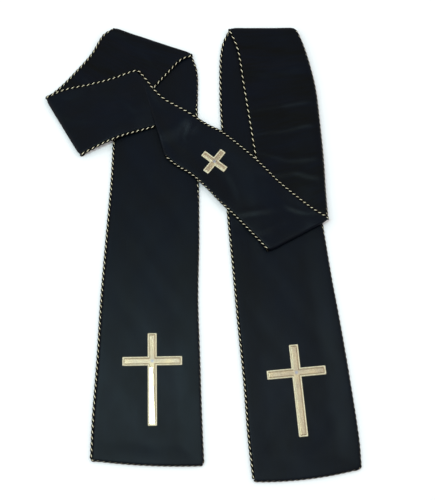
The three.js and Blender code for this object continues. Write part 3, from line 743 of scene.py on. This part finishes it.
def cord_turn(name, edge, lower, upper):
    foot = fold_end(name, edge)
    low, high = (bed_height(foot, layer) + CORD_RADIUS for layer in (lower, upper))
    angles = np.linspace(0, math.pi, CORD_TURN_PLACES)
    return half_turn(name, foot, low, high, CORNER_SETBACK, angles)[:, 0]


def cord_route(side, edge):
    """The cord's middle line along one edge of half the stole, from its hem to the pleat."""
    end, back, neck = f"{side}_end", f"{side}_return", f"neck_{side}"
    neck_line, step = EDGES[neck][edge], CORD_STEP
    if (side, edge) == ("left", "inner"):
        neck_line = neck_line[:-1]  # its last stretch is tucked into the pleat
    elif side == "left":
        step = APEX_CORD_STEP
    return np.vstack([
        cord_along(EDGES[end][edge], end),
        cord_turn(f"top_{side}", edge, end, back),
        cord_along(EDGES[back][edge], back),
        cord_turn(neck, edge, back, neck),
        cord_along(neck_line, neck, step),
        cord_at(neck_line[-1:], neck),
    ])


def hem_cord(side):
    outer, inner = (EDGES[f"{side}_end"][edge][0] for edge in BOTH_EDGES)
    across = np.linspace(0, 1, HEM_CORD_PLACES)
    return np.column_stack([sagging(side, outer, inner, across), 0 * across + CORD_RADIUS])


def outer_cord_path():
    """Both hems and the whole outer edge. The halves meet at the pleat's apex."""
    return np.vstack([
        hem_cord("left")[::-1], cord_route("left", "outer"),
        cord_route("right", "outer")[-2::-1], hem_cord("right"),
    ])


def inner_cord_path(side):
    corner, after = EDGES[f"{side}_end"]["inner"][:2]
    start = corner + unit(after - corner) * HEM_CORD_GAP
    return np.vstack([[*start, CORD_RADIUS], cord_route(side, "inner")])


def carried_frames(points):
    """Directions across a path that turn with it and never spin about it."""
    tangents = unit(np.gradient(points, axis=0))
    side = unit(np.cross(tangents[0], (0.0, 0.0, 1.0)))
    sides = [side]
    for after in tangents[1:]:
        side = unit(side - after * (side @ after))
        sides.append(side)
    sides = np.array(sides)
    return sides, np.cross(tangents, sides)


def twisted_cord(name, path, twist, sides):
    """Four plies twisted together, gold and black by turns, along a path."""
    line = Line(path)
    shares, pitches = zip(*twist)
    count = round(line.length / np.mean(pitches) * STEPS_PER_TURN)
    share = np.linspace(0, 1, count + 1)
    centre = line.at(share)
    for half in sides:
        centre = round_corners(centre, half)
    side, rise = carried_frames(centre)
    reach = share * line.length
    pitch = np.interp(share, shares, pitches)
    turned_through = 2 * math.pi * np.cumsum(line.length / count / pitch)
    ring = np.linspace(0, 2 * math.pi, PLY_SIDES, endpoint=False)
    ply_index = np.arange((count + 1) * PLY_SIDES).reshape(count + 1, PLY_SIDES)
    ply_lay = np.dstack(np.broadcast_arrays(np.cos(ring), np.sin(ring), reach[:, None]))
    points, faces, rises, yarns = [], [], [], []
    for number, ply in enumerate(PLIES):
        turn = number * 2 * math.pi / len(PLIES) - turned_through
        outward = side * np.cos(turn)[:, None] + rise * np.sin(turn)[:, None]
        middle = centre + outward * ply["centre"]
        along = unit(np.gradient(middle, axis=0))
        out = unit(outward - along * np.sum(outward * along, axis=1, keepdims=True))
        round_way = np.cross(along, out)
        rings = (
            middle[:, None] + out[:, None] * ply["high"] * np.cos(ring)[:, None]
            + round_way[:, None] * ply["wide"] * np.sin(ring)[:, None]
        )
        index = ply_index + number * ply_index.size
        ply_faces = [*ring_quads(index), index[0, ::-1].tolist(), index[-1].tolist()]
        faces += ply_faces
        yarns += [ply["yarn"]] * len(ply_faces)
        points.append(rings.reshape(-1, 3))
        # How far each point of a ply faces up or down, from which its yarn's painted shade is made
        rises.append(np.repeat(np.abs(outward[:, 2]), PLY_SIDES))
    return new_piece(
        name, np.vstack(points), faces, [gold_yarn, black_yarn],
        np.tile(ply_lay.reshape(-1, 3), (len(PLIES), 1)), yarns, np.concatenate(rises),
    )


# Crosses: layer, centre, lean in degrees, and the reach of each arm from the crossing. One has its
# lower arm drawn tight: the cloth tilts from a line that runs down the arm.
CROSSES = {
    "cross_left": {
        "layer": "left_end", "centre": (-61, -168), "lean": 1,
        "up": 39, "down": 89, "side": 41, "bar": 12.5,
        "pulled": {"tilt": 4.2, "line_top": 1.0, "line_low": 4.4, "line_bend": 1.5, "starts": 8.0},
    },
    "cross_right": {
        "layer": "right_end", "centre": (136.5, -184), "lean": 5.4,
        "up": 39, "down": 88, "side": 40.5, "bar": 12.5,
    },
    "cross_neck": {
        "layer": "neck_right", "centre": (24, 121), "lean": -38,
        "up": 20.5, "down": 20.5, "side": 20.5, "bar": 9.2,
    },
}
# The satin-stitched border's section: how far in from its edge, and how high
BORDER_SECTION = [
    (0.0, -0.1), (0.0, 0.55), (0.25, 0.95), (0.7, 1.25), (1.15, 1.32), (1.6, 1.15), (1.95, 0.75),
    (2.1, 0.45),
]
BORDER_TOP = max(height for _, height in BORDER_SECTION)
STITCH_PITCH = 0.62
STITCH_STEPS = 3
STITCH_DEPTH = 0.1
# The corners between two arms, which stay sharp, and the rounding of the others
INNER_CORNERS = (0, 3, 6, 9)
CORNER_ROUND = 0.45
PANEL_INSET = 1.9
PANEL_HEIGHT = 0.72
PANEL_CROWN = 0.32
PANEL_STEP = 0.45
CROWN_REACH = 1.7
METAL_PITCH = 0.9
SLACK = 0.01
OFF_THE_SEAMS = 1e3


def cross_place(cross, x, y):
    """Points of the cross's own plan in the part's plan, with the height of the cloth there."""
    lean = math.radians(cross["lean"])
    plan = np.stack([
        x * math.cos(lean) - y * math.sin(lean) + cross["centre"][0],
        x * math.sin(lean) + y * math.cos(lean) + cross["centre"][1],
    ], -1)
    edge = np.full(plan.shape[:-1], OFF_THE_SEAMS)
    return plan, middle_height(plan, cross["layer"], edge) + HALF_BAND


def cross_reach(cross, inset):
    """Half a bar's width, and the reach of the arms up, down and sideways, all drawn in."""
    return cross["bar"] / 2 - inset, *(cross[arm] - inset for arm in ("up", "down", "side"))


def cross_corners(cross, inset):
    half, up, down, side = cross_reach(cross, inset)
    return np.array([
        (half, half), (half, up), (-half, up), (-half, half), (-side, half), (-side, -half),
        (-half, -half), (-half, -down), (half, -down), (half, -half), (side, -half),
        (side, half),
    ])


def inside_cross(cross, x, y):
    """How far plan points lie inside the outline of a cross's woven panel."""
    half, up, down, side = cross_reach(cross, PANEL_INSET)
    upright = np.minimum(half - np.abs(x), np.minimum(up - y, y + down))
    crossbar = np.minimum(half - np.abs(y), side - np.abs(x))
    return np.maximum(upright, crossbar)


def stitched_border(name, cross):
    """The border of a cross, each satin stitch a low ridge across it."""
    full = cross_corners(cross, 0.0)
    lengths = np.linalg.norm(np.roll(full, -1, axis=0) - full, axis=1)
    counts = [round(length / STITCH_PITCH) * STITCH_STEPS for length in lengths]
    starts = np.cumsum([0, *counts])
    size = starts[-1]
    wave = 0.5 + 0.5 * np.cos(2 * math.pi * np.arange(size) / STITCH_STEPS)
    run = np.arange(size) / STITCH_STEPS * STITCH_PITCH
    points, lay = [], []
    for inset, height in BORDER_SECTION:
        corners = cross_corners(cross, inset)
        onward = np.roll(corners, -1, axis=0)
        plan = np.vstack([
            mix(a, b, np.arange(count) / count) for a, b, count in zip(corners, onward, counts)
        ])
        for number, corner in enumerate(corners):
            if number in INNER_CORNERS:
                continue
            inward = unit(unit(corners[number - 1] - corner) + unit(onward[number] - corner))
            for step in range(-2 * STITCH_STEPS, 2 * STITCH_STEPS + 1):
                soften = CORNER_ROUND * math.exp(-(step / STITCH_STEPS) ** 2)
                plan[(starts[number] + step) % size] += inward * soften
        places, base = cross_place(cross, plan[:, 0], plan[:, 1])
        dip = STITCH_DEPTH * (1 - wave) * max(height / BORDER_TOP, 0.0)
        points.append(np.column_stack([places, base + height - dip]))
        lay.append(np.column_stack([run, 0 * run + inset, 0 * run]))
    faces = ring_quads(np.arange(len(points) * size).reshape(len(points), size))
    return new_piece(
        name, np.vstack(points), faces, [stitched_gold], np.vstack(lay),
    )


def pulled_cloth(cross, x, y):
    """Where a cross's lower arm is drawn tight and leans over, and the line it leans from."""
    pull = cross["pulled"]
    share = np.clip((-y - pull["starts"]) / (cross["down"] - pull["starts"]), 0, 1)
    drift = pull["line_low"] - pull["line_top"]
    line = pull["line_top"] + drift * share ** pull["line_bend"]
    return ((-y > pull["starts"]) & (x < line + SLACK)).astype(float), line


def panel_places(low, high, half):
    """Where the panel's points lie along an arm, in even steps that meet the bar's edges."""
    stops = (PANEL_INSET - low, -half, half, high - PANEL_INSET)
    runs = [np.linspace(a, b, round((b - a) / PANEL_STEP) + 1) for a, b in zip(stops, stops[1:])]
    return np.concatenate([runs[0], *(run[1:] for run in runs[1:])])


def woven_panel(name, cross):
    """The metallic cloth inside a cross's border, crowned along its arms."""
    half = cross_reach(cross, PANEL_INSET)[0]
    xs = panel_places(cross["side"], cross["side"], half)
    ys = panel_places(cross["down"], cross["up"], half)
    x, y = np.meshgrid(xs, ys)
    depth = inside_cross(cross, x, y)
    used = depth > -SLACK
    plan, base = cross_place(cross, x, y)
    crown = smooth(depth / CROWN_REACH)
    pulled = np.zeros(x.shape)
    if "pulled" in cross:
        pulled, line = pulled_cloth(cross, x, y)
        crown = np.maximum(crown, pulled)
        base = base - pulled * np.tan(math.radians(cross["pulled"]["tilt"])) * (line - x)
    height = base + PANEL_HEIGHT + PANEL_CROWN * crown
    number = np.full(x.shape, -1)
    number[used] = np.arange(used.sum())
    cell_x, cell_y = np.meshgrid((xs[1:] + xs[:-1]) / 2, (ys[1:] + ys[:-1]) / 2)
    kept = inside_cross(cross, cell_x, cell_y) > 0
    tight = (pulled[:-1, :-1] > 0.5) & (pulled[1:, 1:] > 0.5)
    return new_piece(
        name, np.dstack([plan, height])[used], quads(number)[kept].tolist(),
        [woven_metal, pulled_metal], np.dstack([x, y, depth])[used],
        tight[kept].astype(int),
    )


# Finishes
MIX_COLOUR_A, MIX_COLOUR_B, MIX_COLOUR_RESULT = 6, 7, 2
# The range that noise mostly keeps to
NOISE_SPREAD = (0.3, 0.7)
SLUB_HEIGHT = 0.5
FIBRE_HEIGHT = 0.5
YARN_STRETCH = (1.0, 1.0, 0.35)
FIBRE_STRETCH = (9.0, 1.2, 1.0)
STITCH_COLOURS = [
    (0.25, (0.44, 0.36, 0.22, 1)), (0.5, (0.63, 0.55, 0.37, 1)), (0.75, (0.80, 0.74, 0.55, 1)),
]
METAL_COLOURS = [
    (0.3, (0.24, 0.17, 0.11, 1)), (0.5, (0.385, 0.295, 0.21, 1)), (0.7, (0.54, 0.44, 0.34, 1)),
]
PALE_GOLD = (1.0, 0.93, 0.76, 1)
CROSSING_GREY = (0.26, 0.25, 0.30, 1)
SEAM_BROWN = (0.20, 0.14, 0.06, 1)


def feed(tree, node, inputs):
    """Links or sets a node's inputs."""
    for name, value in inputs.items():
        if isinstance(value, bpy.types.NodeSocket):
            tree.links.new(value, node.inputs[name])
        else:
            node.inputs[name].default_value = value


def place(tree, kind, inputs=None, **settings):
    """Adds a node, sets its options, and links or sets its inputs."""
    node = tree.nodes.new(kind)
    for name, value in settings.items():
        setattr(node, name, value)
    feed(tree, node, inputs or {})
    return node


def maths(tree, operation, a, b=0.0, c=0.0):
    return place(tree, "ShaderNodeMath", {0: a, 1: b, 2: c}, operation=operation).outputs[0]


def vector_maths(tree, operation, inputs, result="Vector"):
    return place(tree, "ShaderNodeVectorMath", inputs, operation=operation).outputs[result]


def split(tree, vector):
    return place(tree, "ShaderNodeSeparateXYZ", {0: vector}).outputs


def noise(tree, vector, scale, detail):
    inputs = {"Vector": vector, "Scale": scale, "Detail": detail}
    return place(tree, "ShaderNodeTexNoise", inputs).outputs[0]


def ranged(tree, value, source, result, easing="LINEAR"):
    """A value's range turned into another one."""
    inputs = {
        "Value": value, "From Min": source[0], "From Max": source[1],
        "To Min": result[0], "To Max": result[1],
    }
    node = place(tree, "ShaderNodeMapRange", inputs, interpolation_type=easing)
    return node.outputs["Result"]


def between(tree, noise_value, low, high):
    """Noise, which stays near its middle, spread from one value to another."""
    return ranged(tree, noise_value, NOISE_SPREAD, (low, high))


def blend(tree, a, b, share):
    """A share of one mask, with the rest from another."""
    return maths(tree, "MULTIPLY_ADD", a, share, maths(tree, "MULTIPLY", b, 1 - share))


def mix_colours(tree, factor, a, b, way="MIX"):
    inputs = {"Factor": factor, MIX_COLOUR_A: a, MIX_COLOUR_B: b}
    node = place(tree, "ShaderNodeMix", inputs, data_type="RGBA", blend_type=way)
    return node.outputs[MIX_COLOUR_RESULT]


def ramp(tree, value, stops):
    node = place(tree, "ShaderNodeValToRGB", {"Fac": value})
    node.color_ramp.elements[0].position, node.color_ramp.elements[0].color = stops[0]
    node.color_ramp.elements[1].position, node.color_ramp.elements[1].color = stops[-1]
    for position, colour in stops[1:-1]:
        node.color_ramp.elements.new(position).color = colour
    return node.outputs["Color"]


def bump(tree, height, distance, strength):
    inputs = {"Height": height, "Distance": distance * MM, "Strength": strength}
    return place(tree, "ShaderNodeBump", inputs).outputs["Normal"]


# Shader groups
def new_group(name, inputs, outputs):
    group = bpy.data.node_groups.new(name, "ShaderNodeTree")
    for way, sockets in (("INPUT", inputs), ("OUTPUT", outputs)):
        for title, kind, value in sockets:
            made = group.interface.new_socket(
                name=title, in_out=way, socket_type=f"NodeSocket{kind}",
            )
            if value is not None:
                made.default_value = value
    return group, group.nodes.new("NodeGroupInput").outputs


def satin_weave_group():
    """Fine floats along the cloth, with slubs and a soft unevenness of sheen."""
    group, given = new_group(
        "satin weave",
        [
            ("Lay", "Vector", None), ("Float Length", "Float", 2.4), ("Float Width", "Float", 0.28),
            ("Slub Size", "Vector", (1.6, 26.0, 1.0)), ("Band Size", "Vector", (48.0, 77.0, 1.0)),
        ],
        [("Height", "Float", None), ("Sheen", "Float", None), ("Slub", "Float", None)],
    )
    parts = split(group, given["Lay"])
    across = maths(group, "DIVIDE", parts[0], given["Float Width"])
    along = maths(group, "DIVIDE", parts[1], given["Float Length"])
    floats = place(group, "ShaderNodeCombineXYZ", {0: across, 1: along}).outputs[0]
    weave = noise(group, floats, 1.0, 1.0)
    slub_lay = vector_maths(group, "DIVIDE", {0: given["Lay"], 1: given["Slub Size"]})
    slub = noise(group, slub_lay, 1.0, 2.0)
    band_lay = vector_maths(group, "DIVIDE", {0: given["Lay"], 1: given["Band Size"]})
    height = maths(group, "MULTIPLY_ADD", slub, SLUB_HEIGHT, weave)
    sheen = noise(group, band_lay, 1.0, 3.0)
    place(group, "NodeGroupOutput", {"Height": height, "Sheen": sheen, "Slub": slub})
    return group


def spun_yarn_group():
    """Fibres that wind round a yarn. Its lay is round the yarn in x and y, and along in z."""
    group, given = new_group(
        "spun yarn",
        [("Lay", "Vector", None), ("Fibres", "Float", 6.0), ("Twist", "Float", 2.2)],
        [("Height", "Float", None), ("Shade", "Float", None)],
    )
    parts = split(group, given["Lay"])
    angle = maths(group, "ARCTAN2", parts[1], parts[0])
    around = maths(group, "MULTIPLY", angle, given["Fibres"])
    phase = maths(group, "MULTIPLY_ADD", parts[2], given["Twist"], around)
    stretched = vector_maths(group, "MULTIPLY", {0: given["Lay"], 1: YARN_STRETCH})
    uneven = noise(group, stretched, 1.3, 2.0)
    height = maths(group, "MULTIPLY_ADD", maths(group, "SINE", phase), FIBRE_HEIGHT, uneven)
    place(group, "NodeGroupOutput", {"Height": height, "Shade": uneven})
    return group


# Materials
def new_material(name):
    material = bpy.data.materials.new(name)
    material.use_nodes = True
    tree = material.node_tree
    return material, tree, tree.nodes["Principled BSDF"]


def on_points(tree, name, output):
    """What a piece keeps on its points under a name."""
    return place(tree, "ShaderNodeAttribute", attribute_name=name).outputs[output]


def satin(name, black, navy, roughness, float_width, slub_size, band_size):
    """Black-navy satin: long fine floats, a soft sheen and a little unevenness."""
    material, tree, shader = new_material(name)
    weave = place(
        tree, "ShaderNodeGroup",
        {
            "Lay": on_points(tree, "thread_lay", "Vector"), "Float Width": float_width,
            "Slub Size": slub_size, "Band Size": band_size,
        },
        node_tree=satin_weave,
    ).outputs
    tone = blend(tree, weave["Slub"], weave["Sheen"], 0.35)
    feed(tree, shader, {
        "Base Color": ramp(tree, tone, [(0.36, black), (0.62, navy)]),
        "Roughness": between(tree, weave["Sheen"], roughness + 0.03, roughness - 0.03),
        "Specular IOR Level": 0.08,
        "Normal": bump(tree, weave["Height"], 0.08, 0.3),
    })
    return material


def yarn(name, dark, light, roughness, specular):
    """A yarn of the piping, with painted shade down the cord's flanks and its top left bright, as
    if lit from above.
    """
    material, tree, shader = new_material(name)
    lay = on_points(tree, "thread_lay", "Vector")
    spun = place(tree, "ShaderNodeGroup", {"Lay": lay}, node_tree=spun_yarn).outputs
    # Painted shade: the colour is darkened where the cord faces sideways, and kept full where it
    # faces up or down.
    rise = on_points(tree, "thread_rise", "Fac")
    painted_flank_shade = ranged(tree, rise, (PAINTED_SHADE_FROM, PAINTED_SHADE_TO), (FLANK_SHADE, 1.0), "SMOOTHSTEP")
    colour = ramp(tree, spun["Shade"], [(0.3, dark), (0.7, light)])
    feed(tree, shader, {
        "Base Color": vector_maths(tree, "SCALE", {0: colour, "Scale": painted_flank_shade}),
        "Roughness": between(tree, spun["Shade"], roughness + 0.08, roughness - 0.08),
        "Specular IOR Level": specular,
        "Normal": bump(tree, spun["Height"], 0.12, 0.5),
    })
    return material


def stitched_material():
    """Satin stitch in cream-gold thread: ridges across the border, with fine fibres, and painted
    light and shade, lighter on each stitch's crest and darker in the dip between stitches.
    """
    material, tree, shader = new_material("cream-gold satin stitch")
    lay = on_points(tree, "thread_lay", "Vector")
    phase = maths(tree, "MULTIPLY", split(tree, lay)[0], 2 * math.pi / STITCH_PITCH)
    # Painted light and shade: each stitch is painted lighter on its crest and darker in the dip to
    # the next.
    thread = maths(tree, "MULTIPLY_ADD", maths(tree, "COSINE", phase), 0.5, 0.5)
    uneven = noise(tree, lay, 0.35, 3.0)
    fibres = vector_maths(tree, "MULTIPLY", {0: lay, 1: FIBRE_STRETCH})
    feed(tree, shader, {
        "Base Color": ramp(tree, blend(tree, thread, uneven, 0.35), STITCH_COLOURS),
        "Roughness": between(tree, uneven, 0.34, 0.5),
        "Metallic": 0.25,
        "Normal": bump(tree, noise(tree, fibres, 1.0, 1.0), 0.1, 0.4),
    })
    return material


def woven_metal_material(name, roughness, metallic, relief):
    """Metallic cloth: a fine weave of pink-beige and pale gold, darker at its seam."""
    material, tree, shader = new_material(name)
    parts = split(tree, on_points(tree, "thread_lay", "Vector"))
    waves = [
        maths(tree, "SINE", maths(tree, "MULTIPLY", part, 2 * math.pi / METAL_PITCH))
        for part in (parts[0], parts[1])
    ]
    weave = maths(tree, "MULTIPLY", *waves)
    flat_lay = place(tree, "ShaderNodeCombineXYZ", {0: parts[0], 1: parts[1]}).outputs[0]
    fleck = noise(tree, flat_lay, 0.75, 2.0)
    patch = noise(tree, flat_lay, 0.07, 1.0)
    shade = maths(tree, "MULTIPLY_ADD", weave, 0.06, blend(tree, fleck, patch, 0.7))
    colour = ramp(tree, shade, METAL_COLOURS)
    colour = mix_colours(tree, between(tree, patch, 0.0, 0.9), colour, PALE_GOLD, "MULTIPLY")
    from_middle = vector_maths(tree, "LENGTH", {0: flat_lay}, "Value")
    crossing = ranged(tree, from_middle, (0.8, 3.4), (0.8, 0.0), "SMOOTHSTEP")
    colour = mix_colours(tree, crossing, colour, CROSSING_GREY)
    seam = ranged(tree, parts[2], (0.1, 1.2), (0.6, 0.0))
    feed(tree, shader, {
        "Base Color": mix_colours(tree, seam, colour, SEAM_BROWN),
        "Roughness": between(tree, fleck, roughness - 0.06, roughness + 0.06),
        "Metallic": metallic,
        "Normal": bump(tree, weave, 0.08, relief),
    })
    return material


satin_weave = satin_weave_group()
spun_yarn = spun_yarn_group()
face_satin = satin(
    "navy-black satin", (0.0018, 0.0024, 0.0038, 1), (0.0020, 0.0036, 0.0078, 1), 0.36, 0.26,
    (1.6, 26.0, 1.0), (48.0, 77.0, 1.0),
)
lining_satin = satin(
    "navy-black lining satin", (0.0011, 0.0012, 0.0010, 1), (0.0018, 0.0030, 0.0066, 1), 0.36, 0.3,
    (30.0, 3.0, 1.0), (110.0, 30.0, 1.0),
)
gold_yarn = yarn("cream-gold yarn", (0.74, 0.63, 0.41, 1), (0.97, 0.89, 0.66, 1), 0.6, 0.2)
black_yarn = yarn("black yarn", (0.001, 0.001, 0.001, 1), (0.0035, 0.0035, 0.0035, 1), 0.8, 0.05)
stitched_gold = stitched_material()
woven_metal = woven_metal_material("pale metallic cloth", 0.37, 0.7, 0.18)
pulled_metal = woven_metal_material("metallic cloth drawn tight", 0.2, 0.85, 0.1)

# The pieces
bands = {}
for side in ("left", "right"):
    surface, edge, across = half_band(side)
    bands[side] = round_corners(surface, side), edge, across
# Which of the part's cloth nodes each half of the stole, face or lining, stands in for
REPLACED = {
    ("left", "face"): ("face_left_end", "face_left_return", "face_neck_left"),
    ("right", "face"): ("face_right_end", "face_right_return", "face_neck_right"),
    ("left", "lining"): ("lining_left_return",),
    ("right", "lining"): ("lining_right_return",),
}
for (side, skin), nodes in REPLACED.items():
    material = face_satin if skin == "face" else lining_satin
    cloth = cloth_skin(f"{skin}_cloth_{side}_half", side, skin, material)
    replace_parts(cloth, *nodes)

for name, path, sides in (
    ("piping_outer", outer_cord_path(), ("left", "right")),
    ("piping_inner_left", inner_cord_path("left"), ("left",)),
    ("piping_inner_right", inner_cord_path("right"), ("right",)),
):
    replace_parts(twisted_cord(f"twisted_{name}", path, TWIST[name], sides), name)

for name, cross in CROSSES.items():
    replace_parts(stitched_border(f"{name}_stitched_border", cross), name)
    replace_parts(woven_panel(f"{name}_woven_panel", cross), name)

# Floor, lights and camera
FLOOR_REACH = 6.0
FLOOR_DROP = 0.0002
floor_mesh = bpy.data.meshes.new("floor")
floor_corners = [
    (-FLOOR_REACH, -FLOOR_REACH, 0), (FLOOR_REACH, -FLOOR_REACH, 0),
    (FLOOR_REACH, FLOOR_REACH, 0), (-FLOOR_REACH, FLOOR_REACH, 0),
]
floor_mesh.from_pydata(floor_corners, [], [(0, 1, 2, 3)])
floor_material, floor_tree, floor_shader = new_material("pale floor")
feed(floor_tree, floor_shader, {
    "Base Color": (0.95, 0.93, 0.93, 1), "Roughness": 0.9, "Specular IOR Level": 0.0,
})
floor_mesh.materials.append(floor_material)
floor = new_object("floor", floor_mesh)
floor.location.z = -FLOOR_DROP

# Lights: where each is, where it faces, its size, power and colour
WHITE = (1, 1, 1)
LIGHTS = {
    "left side light": ((-3.0, -0.2, 2.0), (0, 0, 0), (3.6, 3.2), 46, WHITE),
    "right side light": ((3.0, 0.3, 2.0), (0, 0, 0), (3.6, 3.2), 46, WHITE),
    "top light": ((0.0, 2.9, 2.0), (0, 0, 0), (3.2, 2.4), 18, WHITE),
    "near light": ((-0.05, 0.0, 1.72), (0, -0.2, 0), (0.8, 0.3), 4.6, (0.8, 0.97, 1.0)),
    "small window": ((-0.4, 0.05, 1.72), (-0.1, -0.2, 0), (0.4, 0.4), 6.0, (0.6, 1.0, 1.05)),
}
for name, (at, towards, size, power, colour) in LIGHTS.items():
    data = bpy.data.lights.new(name, "AREA")
    data.shape = "RECTANGLE"
    data.size, data.size_y = size
    data.energy = power
    data.color = colour
    light = new_object(name, data)
    light.location = at
    aim = mathutils.Vector(np.subtract(towards, at))
    light.rotation_euler = aim.to_track_quat("-Z", "Y").to_euler()

BACKGROUND_STRENGTH = 0.52
world = bpy.data.worlds.new("studio")
world.use_nodes = True
feed(world.node_tree, world.node_tree.nodes["Background"], {
    "Color": (1, 1, 1, 1), "Strength": BACKGROUND_STRENGTH,
})
bpy.context.scene.world = world
bpy.context.scene.view_settings.view_transform = "Standard"

CAMERA_PLACE = (0.0285, -0.49415, 1.6928)
CAMERA_TILT = 16.0
CAMERA_LENS = 90
CAMERA_SENSOR = 36
camera_data = bpy.data.cameras.new("camera")
camera_data.lens = CAMERA_LENS
camera_data.sensor_width = CAMERA_SENSOR
camera = new_object("camera", camera_data)
camera.location = CAMERA_PLACE
camera.rotation_euler = (math.radians(CAMERA_TILT), 0, 0)
bpy.context.scene.camera = camera
